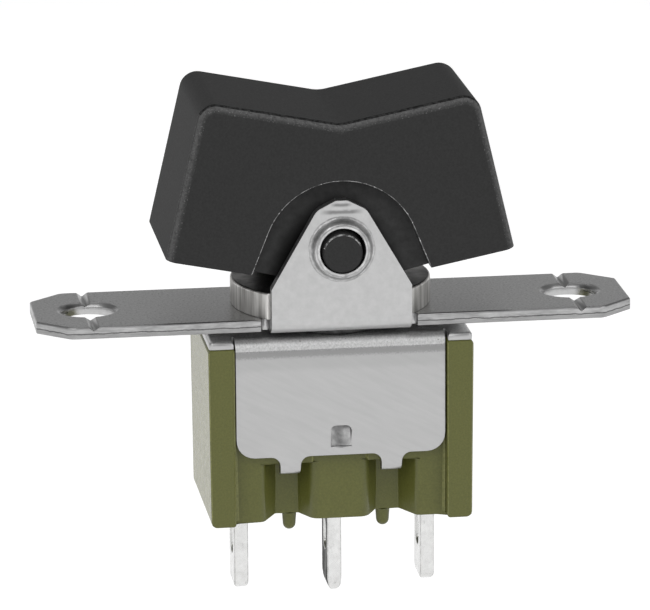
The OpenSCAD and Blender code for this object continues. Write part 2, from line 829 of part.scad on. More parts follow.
// Plan of the case below the ledges: fields, grooves and their rounded corners
function quarter_plan() =
    let (in = tab_x - side_groove_w / 2, out = tab_x + side_groove_w / 2)
    [[case_top_x, field_y, 0],
        [out + side_groove_run_out, field_y, outer_corner_r],
        [out, side_groove_y, groove_floor_r], [in, side_groove_y, groove_floor_r],
        [in - side_groove_run_in, middle_y, middle_corner_r]];

function case_plan() =
    let (half = both_sides(quarter_plan()))
    concat(half, [for (i = [len(half) - 1 : -1 : 0]) [half[i][0], -half[i][1], half[i][2]]]);

// Corner pillar on the near right
module pillar() {
    along_y(-case_width / 2, 0)
        polygon(rounded([
            [pillar_in_x, case_bottom, pillar_foot_r], [case_length / 2, case_bottom, case_corner_r],
            [case_top_x, case_top, pillar_top_r], [pillar_in_x, case_top, pillar_inner_r]]));
}

// Tapered stand-off nub, flush with the near right groove's floor
module nub() {
    end_r = nub_r * nub_taper;
    stem = nub_drop - end_r;
    translate([nub_x, nub_r - side_groove_y, case_bottom - stem]) {
        cylinder(h = stem + past / 2, r1 = end_r, r2 = nub_r);
        sphere(r = end_r);
    }
}

module case_outside() {
    edge_r = fold_r - frame_t + fold_room;
    intersection() {
        union() {
            along_x(-case_top_x, case_top_x)
                polygon(rounded(both_sides([[field_y, ledge_z, 0], [field_y, case_top, edge_r]])));
            translate([0, 0, case_bottom])
                linear_extrude(ledge_z - case_bottom)
                    polygon(rounded(case_plan()));
        }
        along_y(-case_width, case_width)
            polygon(rounded(both_sides([
                [case_length / 2, case_bottom, case_corner_r], [case_top_x, case_top, pillar_top_r]])));
    }
    left_and_right() near_and_far() pillar();
    left_and_right() near_and_far() nub();
}

// Set-back of the near side between the grooves, from the ledge up behind the flange
module middle_recess() {
    x = tab_x - side_groove_w / 2 - side_groove_run_in;
    box([-x, -field_y - past, ledge_z - lap], [x, -middle_y, flange_bottom + detent_foot]);
}

// Pocket behind the near flange's detent
module detent_pocket() {
    foot_z = flange_bottom + detent_foot;
    box([-detent_w / 2 - pocket_room, -field_y - past, foot_z - pocket_room],
        [detent_w / 2 + pocket_room, detent_press + pocket_room - field_y,
            foot_z + detent_h + pocket_room]);
}

module seal_pocket(x) {
    box([x - terminal_t / 2 - seal_margin, -terminal_w / 2 - seal_margin, case_bottom - past],
        [x + terminal_t / 2 + seal_margin, terminal_w / 2 + seal_margin, case_bottom + seal_depth]);
}

module blade_slot(x) {
    box([x - terminal_t / 2, -terminal_w / 2, case_bottom - past],
        [x + terminal_t / 2, terminal_w / 2, chamber_floor + past]);
}

module case_base() {
    color(case_colour)
        difference() {
            case_outside();
            box([-chamber_x, -chamber_width / 2, chamber_floor],
                [chamber_x, chamber_width / 2, case_top + past]);
            translate([0, 0, case_top - stake_t - pocket_room])
                cylinder(h = stake_t + past, r = stake_r + pocket_room);
            near_and_far() middle_recess();
            near_and_far() detent_pocket();
            for (i = [-1 : 1]) {
                seal_pocket(i * terminal_pitch);
                blade_slot(i * terminal_pitch);
            }
        }
}

// Terminals

// Blade seen from the side, with its rounded end and wire eye, and its end rounded in front
module blade(top, drop, front_r) {
    half_w = terminal_w / 2;
    half_t = terminal_t / 2;
    end = case_bottom - drop;
    eye_top = case_bottom - eye_drop - eye_w / 2;
    eye_low = eye_top - eye_h + eye_w;
    intersection() {
        difference() {
            along_x(-half_t, half_t)
                polygon(rounded([[-half_w, end, blade_end_r], [half_w, end, blade_end_r],
                    [half_w, top, 0], [-half_w, top, 0]]));
            for (z = [eye_low, eye_top])
                translate([-past, 0, z]) rotate([0, 90, 0]) cylinder(h = 2 * past, r = eye_w / 2);
            box([-past, -eye_w / 2, eye_low], [past, eye_w / 2, eye_top]);
        }
        along_y(-terminal_w, terminal_w)
            polygon(rounded([[-half_t, end, front_r], [half_t, end, front_r],
                [half_t, top, 0], [-half_t, top, 0]]));
    }
}

// Outer terminal on the right: blade and the contact pad that lies on the chamber floor
module outer_terminal() {
    pad_end = terminal_pitch + terminal_t / 2;
    translate([terminal_pitch, 0, 0])
        blade(chamber_floor + pad_t, outer_drop, outer_tip_r);
    box([pad_end - pad_length, -terminal_w / 2, chamber_floor],
        [pad_end, terminal_w / 2, chamber_floor + pad_t]);
}

module terminal_left() {
    color(terminal_colour) mirror([1, 0, 0]) outer_terminal();
}

module terminal_center() {
    color(terminal_colour) blade(chamber_floor + cradle_t, middle_drop, middle_tip_r);
}

module terminal_right() {
    color(terminal_colour) outer_terminal();
}

// Poured seals round the three blades, flush with the case's underside
module terminal_seals() {
    color(seal_colour)
        for (i = [-1 : 1])
            difference() {
                intersection() {
                    seal_pocket(i * terminal_pitch);
                    box([-case_length, -case_width, case_bottom], [case_length, case_width, 0]);
                }
                blade_slot(i * terminal_pitch);
            }
}

// Contacts

// Sheet cradle on the chamber floor: base round the middle blade and two notched cheeks
module contact_cradle() {
    half = cradle_length / 2;
    cheek_in = strip_w / 2 + cheek_gap;
    cheek_out = cheek_in + cradle_t;
    notch_r = trunnion_r + trunnion_clearance;
    cheek_top = rock_axis_z + cheek_rise;
    color(brass_colour)
        difference() {
            union() {
                box([-half, -cheek_out, chamber_floor], [half, cheek_out, chamber_floor + cradle_t]);
                near_and_far()
                    box([-half, -cheek_out, chamber_floor], [half, -cheek_in, cheek_top]);
            }
            blade_slot(0);
            bar_y(0, rock_axis_z, notch_r, -case_width, case_width);
            box([-notch_r, -case_width, rock_axis_z], [notch_r, case_width, cheek_top + past]);
        }
}

module fixed_contact_right() {
    color(silver_colour)
        translate([contact_x, 0, fixed_top - fixed_h]) {
            cylinder(h = fixed_h - button_bevel, r = fixed_r);
            translate([0, 0, fixed_h - button_bevel])
                cylinder(h = button_bevel, r1 = fixed_r, r2 = fixed_r - button_bevel);
        }
}

module fixed_contact_left() {
    mirror([1, 0, 0]) fixed_contact_right();
}

// Frame of the right wing: X runs out along the wing from the dish's end
module on_wing() {
    translate([dish_reach, 0, rock_axis_z + dish_sag])
        rotate([0, -rock_angle, 0])
            children();
}

// Height of the dish's middle surface above the rocking axis
function dish_z(x) = dish_r - sqrt(dish_r * dish_r - x * x);

module moving_contact() {
    steps = 16;
    xs = [for (i = [-steps / 2 : steps / 2]) i * 2 * dish_reach / steps];
    upper = [for (x = xs) [x, rock_axis_z + dish_z(x) + strip_t / 2]];
    lower = [for (x = xs) [-x, rock_axis_z + dish_z(x) - strip_t / 2]];
    trunnion_in = nose_r + nose_room;
    trunnion_out = strip_w / 2 + cheek_gap + cradle_t;
    color(brass_colour) {
        along_y(-strip_w / 2, strip_w / 2)
            polygon(concat(upper, lower));
        left_and_right()
            on_wing()
                translate([-5 * lap, -strip_w / 2, -strip_t / 2])
                    cube([wing_length + 5 * lap, strip_w, strip_t]);
        near_and_far()
            bar_y(0, rock_axis_z, trunnion_r, -trunnion_out, -trunnion_in);
    }
}

module contact_tip_right() {
    color(silver_colour)
        on_wing()
            translate([tip_on_wing, 0, -strip_t / 2 - tip_h]) {
                cylinder(h = button_bevel, r1 = tip_r - button_bevel, r2 = tip_r);
                translate([0, 0, button_bevel])
                    cylinder(h = tip_h - button_bevel, r = tip_r);
            }
}

module contact_tip_left() {
    mirror([1, 0, 0]) contact_tip_right();
}

// Lever, actuator, plunger and spring

module toggle_lever() {
    arm_end = actuator_top_z - arm_seat;
    color(silver_colour)
        difference() {
            union() {
                translate([0, 0, lever_pivot_z]) sphere(r = ball_r);
                translate([0, 0, knob_z]) sphere(r = knob_r);
                translate([0, 0, lever_pivot_z]) cylinder(h = knob_z - lever_pivot_z, r = neck_r);
                translate([0, 0, arm_end]) cylinder(h = lever_pivot_z - arm_end, r = arm_r);
            }
            bar_y(0, lever_pivot_z, pin_r + pin_clearance, -2 * ball_r, 2 * ball_r);
        }
}

module actuator_block() {
    bore_r = plunger_r + plunger_clearance;
    color(actuator_colour)
        difference() {
            translate([0, 0, actuator_bottom_z])
                cylinder(h = actuator_length, r = actuator_r);
            translate([0, 0, actuator_bottom_z - past])
                cylinder(h = spring_seat_z - actuator_bottom_z + past, r = bore_r);
            translate([0, 0, actuator_top_z - arm_seat])
                cylinder(h = arm_seat + past, r = arm_r);
        }
}

module plunger() {
    taper_z = actuator_bottom_z - plunger_show;
    color(actuator_colour) {
        translate([0, 0, taper_z])
            cylinder(h = plunger_top_z - taper_z, r = plunger_r);
        translate([0, 0, nose_z + nose_r])
            cylinder(h = taper_z - nose_z - nose_r, r1 = nose_r, r2 = plunger_r);
        translate([0, 0, nose_z + nose_r]) sphere(r = nose_r);
    }
}

// Coil of round wire between the plunger's top and the bore's end
module plunger_spring() {
    sides = 8;
    per_turn = 14;
    rings = spring_turns * per_turn;
    low = plunger_top_z + wire_d / 2;
    rise = spring_seat_z - plunger_top_z - wire_d;
    points = [for (i = [0 : rings], k = [0 : sides - 1])
        let (a = 360 * i / per_turn, b = 360 * k / sides, r = spring_r + wire_d / 2 * cos(b))
        [r * cos(a), r * sin(a), low + rise * i / rings + wire_d / 2 * sin(b)]];
    skin = [for (i = [0 : rings - 1], k = [0 : sides - 1])
        let (n = (k + 1) % sides)
        [i * sides + k, i * sides + n, (i + 1) * sides + n, (i + 1) * sides + k]];
    start = [for (k = [sides - 1 : -1 : 0]) k];
    finish = [for (k = [0 : sides - 1]) rings * sides + k];
    color(silver_colour)
        polyhedron(points, concat([start], skin, [finish]));
}

rocker_button();
mounting_bracket();
bushing();
spacer_washer();
frame_cover();
case_base();
terminal_left();
terminal_center();
terminal_right();
terminal_seals();
contact_cradle();
fixed_contact_left();
fixed_contact_right();
moving_contact();
contact_tip_left();
contact_tip_right();
pivot_pin();
toggle_lever();
actuator_block();
plunger();
plunger_spring();
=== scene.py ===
"""Looks of a miniature panel rocker switch: its pieces, their finishes and a plain studio."""
import json
import logging
from collections.abc import Callable
from dataclasses import dataclass, field
from enum import Enum
from math import pi, radians, sqrt

import bmesh
import bpy
from mathutils import Matrix, Vector


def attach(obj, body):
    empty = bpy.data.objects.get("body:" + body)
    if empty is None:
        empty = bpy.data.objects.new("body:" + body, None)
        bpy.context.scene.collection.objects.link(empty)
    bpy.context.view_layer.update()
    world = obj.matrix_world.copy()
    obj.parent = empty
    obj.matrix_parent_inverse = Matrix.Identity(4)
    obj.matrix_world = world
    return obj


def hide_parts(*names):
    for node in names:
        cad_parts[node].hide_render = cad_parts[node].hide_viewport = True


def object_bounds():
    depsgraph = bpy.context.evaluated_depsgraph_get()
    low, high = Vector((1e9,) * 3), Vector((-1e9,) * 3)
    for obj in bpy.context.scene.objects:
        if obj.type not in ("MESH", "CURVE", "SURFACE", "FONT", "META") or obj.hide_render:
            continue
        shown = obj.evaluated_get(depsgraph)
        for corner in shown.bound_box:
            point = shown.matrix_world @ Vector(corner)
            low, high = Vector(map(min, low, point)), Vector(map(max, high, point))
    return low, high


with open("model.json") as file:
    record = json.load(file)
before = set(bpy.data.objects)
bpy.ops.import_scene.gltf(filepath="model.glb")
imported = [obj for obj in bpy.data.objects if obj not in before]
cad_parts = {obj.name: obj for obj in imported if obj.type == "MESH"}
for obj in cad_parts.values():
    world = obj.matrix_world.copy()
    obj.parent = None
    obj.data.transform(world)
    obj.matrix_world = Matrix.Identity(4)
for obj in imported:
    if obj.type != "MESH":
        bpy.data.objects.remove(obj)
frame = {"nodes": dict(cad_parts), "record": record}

log = logging.getLogger("switch")

# One millimetre in metres
MM = 0.001
# The CAD model's box, kept before any piece is added
CAD_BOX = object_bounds()
# Height of the rocker's pivot over the strap, in millimetres
PIVOT_Z = 3.66
# How near two places count as the same, loosely and closely, in millimetres
NEAR, CLOSE = 0.02, 0.01
# Sockets of a colour mix: its share, its two colours and its result
SHARE, BELOW, ABOVE, MIXED = 0, 6, 7, 2

Tree = bpy.types.NodeTree
Socket = bpy.types.NodeSocket
Edge = bmesh.types.BMEdge
Face = bmesh.types.BMFace
EdgeTest = Callable[[Edge], bool]
FaceTest = Callable[[Face], bool]


class Measure(Enum):
    """What a band is measured along, as the output of the coordinates' split."""

    HEIGHT = "Z"
    DEPTH = "Y"


class Metal(Enum):
    """Whether a finish is bare metal, as the shader's metallic value."""

    YES = 1.0
    NO = 0.0


def put(name: str, data: bpy.types.ID) -> bpy.types.Object:
    """Add an object with the given data to the scene.

    Args:
        name: The object's name.
        data: Its mesh, lamp or camera.

    Returns:
        The new object.
    """
    made = bpy.data.objects.new(name, data)
    bpy.context.collection.objects.link(made)
    return made


def aimed(azimuth: float, elevation: float) -> Matrix:
    """Turn that makes a camera or lamp look down from a bearing and height in degrees."""
    return (Matrix.Rotation(radians(azimuth), 4, "Z")
            @ Matrix.Rotation(radians(90 - elevation), 4, "X"))


def cleared(owner: bpy.types.Material | bpy.types.World) -> Tree:
    """Turn a material's or a world's nodes on and clear them away.

    Args:
        owner: The material or the world.

    Returns:
        Its empty node tree.
    """
    owner.use_nodes = True
    owner.node_tree.nodes.clear()
    return owner.node_tree


def linear(code: str) -> tuple[float, float, float, float]:
    """Turn an sRGB hex colour into linear red, green, blue and alpha.

    Args:
        code: The colour as "#rrggbb".

    Returns:
        The linear colour with an alpha of 1.
    """
    channels = [int(code[i:i + 2], 16) / 255 for i in (1, 3, 5)]
    low, knee, power = 12.92, 0.04045, 2.4
    return (*(c / low if c <= knee else ((c + 0.055) / 1.055) ** power for c in channels), 1.0)


def pitch(millimetres: float) -> float:
    """Texture scale at which one feature of a pattern takes the given length."""
    return 1 / (millimetres * MM)


def add_node(
    tree: Tree, kind: str, settings: dict | None = None, links: dict | None = None
) -> bpy.types.Node:
    """Add a node, set what its settings name and link its inputs.

    Args:
        tree: The node tree that gets the node.
        kind: The node's type.
        settings: Properties or input values, by property name, input name or input number.
        links: Sockets to link, by input name or number.

    Returns:
        The new node.
    """
    node = tree.nodes.new(kind)
    for key, value in (settings or {}).items():
        if isinstance(key, str) and hasattr(node, key):
            setattr(node, key, value)
        else:
            node.inputs[key].default_value = value
    for key, socket in (links or {}).items():
        tree.links.new(socket, node.inputs[key])
    return node


@dataclass(frozen=True)
class Grain:
    """Noise in the switch's own coordinates.

    Attributes:
        size_mm: Size of one patch or grain.
        stretch: How much longer it is along each axis.
        slant: Turn of the pattern about Y in degrees.
        detail: How many finer layers it has.
    """

    size_mm: float
    stretch: tuple[float, float, float] = (1, 1, 1)
    slant: float = 0
    detail: float = 2

    def add(self, tree: Tree) -> Socket:
        """Add the noise to a material.

        Args:
            tree: The material's node tree.

        Returns:
            The noise's value, about 0.5 on average.
        """
        place = add_node(tree, "ShaderNodeTexCoord")
        turned = add_node(
            tree, "ShaderNodeMapping",
            {"vector_type": "TEXTURE", "Rotation": (0, radians(self.slant), 0),
             "Scale": self.stretch},
            {"Vector": place.outputs["Object"]})
        noise = add_node(
            tree, "ShaderNodeTexNoise",
            {"Scale": pitch(self.size_mm), "Detail": self.detail, "Roughness": 0.6},
            {"Vector": turned.outputs["Vector"]})
        return noise.outputs["Fac"]


@dataclass(frozen=True)
class Specks:
    """Small marks of another colour where a grain runs high.

    Attributes:
        colour: The marks' colour.
        grain: Their size and direction.
        above: Grain value at which a mark starts.
        soft: How much further the value rises to the mark's full colour.
    """

    colour: str
    grain: Grain
    above: float
    soft: float = 0.05

    def add(self, tree: Tree) -> Socket:
        """Add the marks' share of the surface.

        Args:
            tree: The material's node tree.

        Returns:
            The share, from 0 to 1.
        """
        share = add_node(
            tree, "ShaderNodeMapRange",
            {"From Min": self.above, "From Max": self.above + self.soft},
            {"Value": self.grain.add(tree)})
        return share.outputs["Result"]


@dataclass(frozen=True)
class Band:
    """Line of another colour along a piece, as a shear or a bend leaves it, or a painted highlight.

    Attributes:
        colour: The line's colour.
        low_mm: Height or depth of its near edge.
        high_mm: Height or depth of its far edge.
        soft_mm: Width over which each edge fades.
        strength: How much of the colour shows.
        wander: Grain that moves the line up and down.
        wander_mm: How far it moves it.
        reach_mm: Half of its length along X, or 0 where it runs all round.
        measure: Whether it lies at a height, or at a depth either side of the middle.
    """

    colour: str
    low_mm: float
    high_mm: float
    soft_mm: float
    strength: float = 1.0
    wander: Grain = Grain(0.8)
    wander_mm: float = 0.0
    reach_mm: float = 0.0
    measure: Measure = Measure.HEIGHT

    def add(self, tree: Tree) -> Socket:
        """Add the line's share of the surface.

        Args:
            tree: The material's node tree.

        Returns:
            The share, from 0 to the line's strength.
        """
        place = add_node(tree, "ShaderNodeTexCoord")
        split = add_node(tree, "ShaderNodeSeparateXYZ", links={0: place.outputs["Object"]})
        level = split.outputs[self.measure.value]
        if self.measure is Measure.DEPTH:
            deep = add_node(tree, "ShaderNodeMath", {"operation": "ABSOLUTE"}, {0: level})
            level = deep.outputs[0]
        moved = add_node(
            tree, "ShaderNodeMath", {"operation": "MULTIPLY_ADD", 1: self.wander_mm * MM},
            {0: self.wander.add(tree), 2: level})
        middle = (self.low_mm + self.high_mm + self.wander_mm) / 2 * MM
        reach = (self.high_mm - self.low_mm) / 2 * MM
        off = add_node(
            tree, "ShaderNodeMath", {"operation": "SUBTRACT", 1: middle}, {0: moved.outputs[0]})
        away = add_node(tree, "ShaderNodeMath", {"operation": "ABSOLUTE"}, {0: off.outputs[0]})
        share = add_node(
            tree, "ShaderNodeMapRange",
            {"interpolation_type": "SMOOTHSTEP", "From Min": reach,
             "From Max": reach + self.soft_mm * MM, "To Min": self.strength, "To Max": 0.0},
            {"Value": away.outputs[0]})
        if not self.reach_mm:
            return share.outputs["Result"]
        side = add_node(tree, "ShaderNodeMath", {"operation": "ABSOLUTE"}, {0: split.outputs["X"]})
        ends = add_node(
            tree, "ShaderNodeMapRange",
            {"From Min": self.reach_mm / 2 * MM, "From Max": self.reach_mm * MM,
             "To Min": 1.0, "To Max": 0.0},
            {"Value": side.outputs[0]})
        both = add_node(
            tree, "ShaderNodeMath", {"operation": "MULTIPLY"},
            {0: share.outputs["Result"], 1: ends.outputs["Result"]})
        return both.outputs[0]


@dataclass(frozen=True)
class Rings:
    """Rings of another colour round an axis along Y, as a punch or a rub leaves them.

    Attributes:
        colour: The rings' colour.
        centre_mm: Height of the axis.
        step_mm: Distance from ring to ring.
        strength: How much of the colour shows.
        uneven: How far the rings wander, in ring widths.
    """

    colour: str
    centre_mm: float
    step_mm: float
    strength: float = 0.5
    uneven: float = 1.0

    def add(self, tree: Tree) -> Socket:
        """Add the rings' share of the surface.

        Args:
            tree: The material's node tree.

        Returns:
            The share, from 0 to the rings' strength.
        """
        place = add_node(tree, "ShaderNodeTexCoord")
        centred = add_node(
            tree, "ShaderNodeMapping", {"Location": (0, 0, -self.centre_mm * MM)},
            {"Vector": place.outputs["Object"]})
        # A wave texture repeats every pi / 10 of its own length
        waves = add_node(
            tree, "ShaderNodeTexWave",
            {"wave_type": "RINGS", "rings_direction": "Y", "Scale": pi / 10 * pitch(self.step_mm),
             "Distortion": self.uneven, "Detail": 3.0, "Detail Scale": 1.5},
            {"Vector": centred.outputs["Vector"]})
        share = add_node(
            tree, "ShaderNodeMath", {"operation": "MULTIPLY", 1: self.strength},
            {0: waves.outputs["Fac"]})
        return share.outputs[0]


@dataclass(frozen=True)
class Halo:
    """Patch of another colour round an axis along Y, which fades outwards.

    Attributes:
        colour: The patch's colour.
        centre_mm: Place along X and height of the axis.
        tall: How much taller than wide it is.
        inner_mm: Distance beside the axis up to which it has its full colour.
        outer_mm: Distance beside the axis at which it ends.
    """

    colour: str
    centre_mm: tuple[float, float]
    tall: float
    inner_mm: float
    outer_mm: float

    def add(self, tree: Tree) -> Socket:
        """Add the patch's share of the surface.

        Args:
            tree: The material's node tree.

        Returns:
            The share, from 0 to 1.
        """
        place = add_node(tree, "ShaderNodeTexCoord")
        across, up = (part * MM for part in self.centre_mm)
        flat = add_node(
            tree, "ShaderNodeMapping",
            {"Location": (-across, 0, -up / self.tall), "Scale": (1, 0, 1 / self.tall)},
            {"Vector": place.outputs["Object"]})
        away = add_node(
            tree, "ShaderNodeVectorMath", {"operation": "LENGTH"}, {0: flat.outputs["Vector"]})
        share = add_node(
            tree, "ShaderNodeMapRange",
            {"interpolation_type": "SMOOTHSTEP", "From Min": self.inner_mm * MM,
             "From Max": self.outer_mm * MM, "To Min": 1.0, "To Max": 0.0},
            {"Value": away.outputs["Value"]})
        return share.outputs["Result"]


@dataclass(frozen=True)
class Finish:
    """A surface finish, named for the material and how its surface was made.

    Attributes:
        name: The material's name.
        colour: Main colour.
        shade: Second colour, where the surface is darker or duller.
        roughness: Lowest and highest roughness.
        metal: Whether it is bare metal.
        ior: Index of refraction, or None to keep the default of a metal.
        patches: Size and direction of the patches that the two colours make.
        contrast: Part of the noise over which one colour turns to the other.
        relief: Size and direction of the relief's grains.
        relief_mm: Height of the relief.
        marks: Specks, lines, rings and halos on top of the patches.
        gloss: Level of the shader's reflection, 0.5 as the index of refraction gives it.
    """

    name: str
    colour: str
    shade: str
    roughness: tuple[float, float]
    metal: Metal = Metal.NO
    ior: float | None = None
    patches: Grain = Grain(0.4, detail=3)
    contrast: tuple[float, float] = (0.3, 0.7)
    relief: Grain = Grain(0.15)
    relief_mm: float = 0.001
    marks: tuple[Specks | Band | Rings | Halo, ...] = ()
    gloss: float = 0.5

    def tone(self, tree: Tree) -> tuple[Socket, Socket]:
        """Add the colour and the roughness of the finish.

        Args:
            tree: The material's node tree.

        Returns:
            The colour socket and the roughness socket.
        """
        low, high = self.contrast
        share = add_node(
            tree, "ShaderNodeMapRange", {"From Min": low, "From Max": high},
            {"Value": self.patches.add(tree)})
        mix = add_node(
            tree, "ShaderNodeMix",
            {"data_type": "RGBA", BELOW: linear(self.shade), ABOVE: linear(self.colour)},
            {SHARE: share.outputs["Result"]})
        colour = mix.outputs[MIXED]
        for mark in self.marks:
            over = add_node(
                tree, "ShaderNodeMix", {"data_type": "RGBA", ABOVE: linear(mark.colour)},
                {SHARE: mark.add(tree), BELOW: colour})
            colour = over.outputs[MIXED]
        rough = add_node(
            tree, "ShaderNodeMapRange", {"To Min": self.roughness[1], "To Max": self.roughness[0]},
            {"Value": share.outputs["Result"]})
        return colour, rough.outputs["Result"]

    def bumps(self, tree: Tree) -> Socket:
        """Add the fine relief of the finish.

        Args:
            tree: The material's node tree.

        Returns:
            The normal socket.
        """
        bump = add_node(
            tree, "ShaderNodeBump", {"Strength": 1.0, "Distance": self.relief_mm * MM},
            {"Height": self.relief.add(tree)})
        return bump.outputs["Normal"]

    def material(self) -> bpy.types.Material:
        """Build the material, once for each finish.

        Returns:
            The material, which every piece with this finish shares.
        """
        made = bpy.data.materials.get(self.name)
        if made:
            return made
        made = bpy.data.materials.new(self.name)
        tree = cleared(made)
        colour, rough = self.tone(tree)
        settings = {"Metallic": self.metal.value, "Specular IOR Level": self.gloss}
        if self.ior:
            settings["IOR"] = self.ior
        shader = add_node(
            tree, "ShaderNodeBsdfPrincipled", settings,
            {"Base Color": colour, "Roughness": rough, "Normal": self.bumps(tree)})
        add_node(tree, "ShaderNodeOutputMaterial", links={"Surface": shader.outputs["BSDF"]})
        return made


# Charcoal nylon, moulded against a spark-eroded cavity: nearly black, with an even matt grain.
# The real grain is finer than a pixel and is drawn at 0.1 mm so that it shows.
MOULDED_NYLON = Finish(
    name="moulded_nylon", colour="#373737", shade="#323232", roughness=(0.62, 0.7), ior=1.5,
    gloss=0.08, patches=Grain(0.1), relief=Grain(0.1), relief_mm=0.0012)
# The same nylon on the recesses' floors round the pivots, a shade paler, with painted shade: a
# near-black patch round each boss, off to one side, that stands for the ear's shadow
RECESS_NYLON_PAINTED_SHADE = Finish(
    name="recess_nylon_painted_shade", colour="#404040", shade="#343434", roughness=(0.5, 0.6), ior=1.5,
    gloss=0.14, patches=Grain(0.5, detail=3), relief=Grain(0.1), relief_mm=0.0012,
    marks=(Halo("#020202", (-0.25, 0.0), 1.68, 2.95, 3.85),))
# The same nylon on the rims' rounding: a pale, mottled painted highlight along the middle of the
# blend that fades to both sides, and bright fibre ends where fingers and the ejector have rubbed
RIM_NYLON_WEAR_AND_HIGHLIGHT = Finish(
    name="rim_nylon_wear_and_highlight", colour="#383838", shade="#303030", roughness=(0.55, 0.65), ior=1.5,
    gloss=0.14, patches=Grain(0.12, detail=3), contrast=(0.4, 0.6), relief=Grain(0.09),
    relief_mm=0.003,
    marks=(
        Band("#5a5a5a", 4.12, 4.2, 0.15, 0.85, Grain(0.25, detail=4), 0.05, measure=Measure.DEPTH),
        Specks("#343434", Grain(0.15, detail=4), above=0.47, soft=0.28),
        Specks("#6c6c6c", Grain(0.09, detail=1), above=0.6, soft=0.18),
    ))
# The line where the rim's blend starts, drawn dark and ragged: painted shade along the turn from
# the top
BLEND_NYLON_PAINTED_SHADE = Finish(
    name="blend_nylon_painted_shade", colour="#353535", shade="#161616", roughness=(0.7, 0.8), ior=1.5, gloss=0.1,
    patches=Grain(0.16, detail=4), contrast=(0.42, 0.62), relief_mm=0.003)
# Thin flash that the mould's parting line leaves: broken, pale where it is torn. The same pale
# finish on the upper half of the bosses' chamfers is a painted highlight
NYLON_FLASH_AND_HIGHLIGHT = Finish(
    name="nylon_flash_and_highlight", colour="#a0a0a0", shade="#363636", roughness=(0.5, 0.6), ior=1.5,
    patches=Grain(0.4, detail=4), contrast=(0.42, 0.6),
    marks=(Specks("#d2d2d2", Grain(0.12, detail=1), above=0.62),))
# Cold-rolled steel with dull nickel plate: even pale grey, two faint die lines over the ears' holes
PLATED_SHEET = Finish(
    name="plated_sheet", colour="#bababa", shade="#b2b2b2", roughness=(0.3, 0.37), metal=Metal.YES,
    patches=Grain(0.3, detail=5), relief=Grain(0.1), relief_mm=0.0003,
    marks=(
        Band("#5c5c5c", 5.86, 5.88, 0.12, 0.7, Grain(0.5), 0.06, reach_mm=0.55),
        Band("#5c5c5c", 5.5, 5.54, 0.14, 0.7, Grain(0.3, detail=3), 0.12, reach_mm=1.1),
    ))
# The ears' sheared sides: torn and dull, drawn dark and not metal, so that no edge of them gleams
SHEARED_SIDE = Finish(
    name="sheared_side", colour="#4a4a4a", shade="#2e2e2e", roughness=(0.5, 0.6), ior=1.5,
    gloss=0.15, patches=Grain(0.2, stretch=(1, 1, 2), detail=3))
# The strap's flat faces, which the rolls have left with a fine pitted grain
ROLLED_SHEET = Finish(
    name="rolled_sheet", colour="#cacaca", shade="#b2b2b2", roughness=(0.3, 0.4), metal=Metal.YES,
    patches=Grain(0.13, detail=3), relief=Grain(0.09), relief_mm=0.0008,
    marks=(Specks("#8a8a8a", Grain(0.11, detail=1), above=0.62, soft=0.1),))
# The pressed collars, scuffed into rings by the punch and by the bosses' shoulders
PUNCHED_COLLAR = Finish(
    name="punched_collar", colour="#dadada", shade="#a8a8a8", roughness=(0.34, 0.46),
    metal=Metal.YES, patches=Grain(0.35, detail=4), relief=Grain(0.2), relief_mm=0.0015,
    marks=(Rings("#6e6e6e", PIVOT_Z, 0.17, 0.55, 2.4),))
# The sheet's sheared edge: burnished above, torn below, with the dark ragged line between them
SHEARED_EDGE = Finish(
    name="sheared_edge", colour="#b4b4b4", shade="#949494", roughness=(0.28, 0.4), metal=Metal.YES,
    patches=Grain(0.25, stretch=(3, 3, 0.6), detail=3), relief=Grain(0.12, stretch=(3, 3, 1)),
    relief_mm=0.0015,
    marks=(
        Band("#3c3c3c", -0.36, -0.33, 0.03, 0.8, Grain(0.6, detail=4), 0.14),
        Band("#868686", -0.62, -0.42, 0.06, 0.5),
    ))
# Stainless sheet, brushed aslant before it was stamped: so faint that it shows at some angles only
BRUSHED_STAINLESS = Finish(
    name="brushed_stainless", colour="#b2b2b2", shade="#adadad", roughness=(0.31, 0.35),
    metal=Metal.YES, patches=Grain(0.22, stretch=(9, 1, 1), slant=28, detail=3),
    relief=Grain(0.1, stretch=(12, 1, 1), slant=28), relief_mm=0.00018,
    marks=(
        Band("#6e6e6e", -1.74, -1.6, 0.22, 0.75, Grain(0.09), 0.3),
        Band("#9c9c9c", -2.3, -1.7, 0.4, 0.35, Grain(0.3), 0.2),
    ))
# The same sheet on its top and over the folds, where bending has opened a coarse grain, drawn much
# paler than the flanks as a painted sheen on the faces that look up
BENT_STAINLESS_GRAIN_AND_SHEEN = Finish(
    name="bent_stainless_grain_and_sheen", colour="#e6e6e6", shade="#c6c6c6", roughness=(0.36, 0.46),
    metal=Metal.YES, patches=Grain(0.1, detail=3), relief=Grain(0.09), relief_mm=0.0013,
    marks=(
        Specks("#8a8a8a", Grain(0.12, detail=1), above=0.7, soft=0.1),
        Band("#8c8c8c", -1.9, -1.6, 0.2, 0.7, Grain(0.09), 0.2),
    ))
# The lanced tongue, drawn darker and blotchy as painted shade in the hollow it is pressed into
TONGUE_PAINTED_SHADE = Finish(
    name="tongue_painted_shade", colour="#b2b2b2", shade="#7e7e7e", roughness=(0.32, 0.42),
    metal=Metal.YES, patches=Grain(0.45, detail=3), relief=Grain(0.14), relief_mm=0.0015)
# Nickel-plated brass, turned and drawn, with painted reflections: bright and dull stripes along
# the axis for the surroundings mirrored in its round side
PLATED_BRASS_PAINTED_REFLECTIONS = Finish(
    name="plated_brass_painted_reflections", colour="#ecebe8", shade="#a6a4a1", roughness=(0.4, 0.5),
    metal=Metal.YES, patches=Grain(0.3, stretch=(1, 1, 14), detail=3),
    relief=Grain(0.16, stretch=(1, 1, 10)), relief_mm=0.0007)
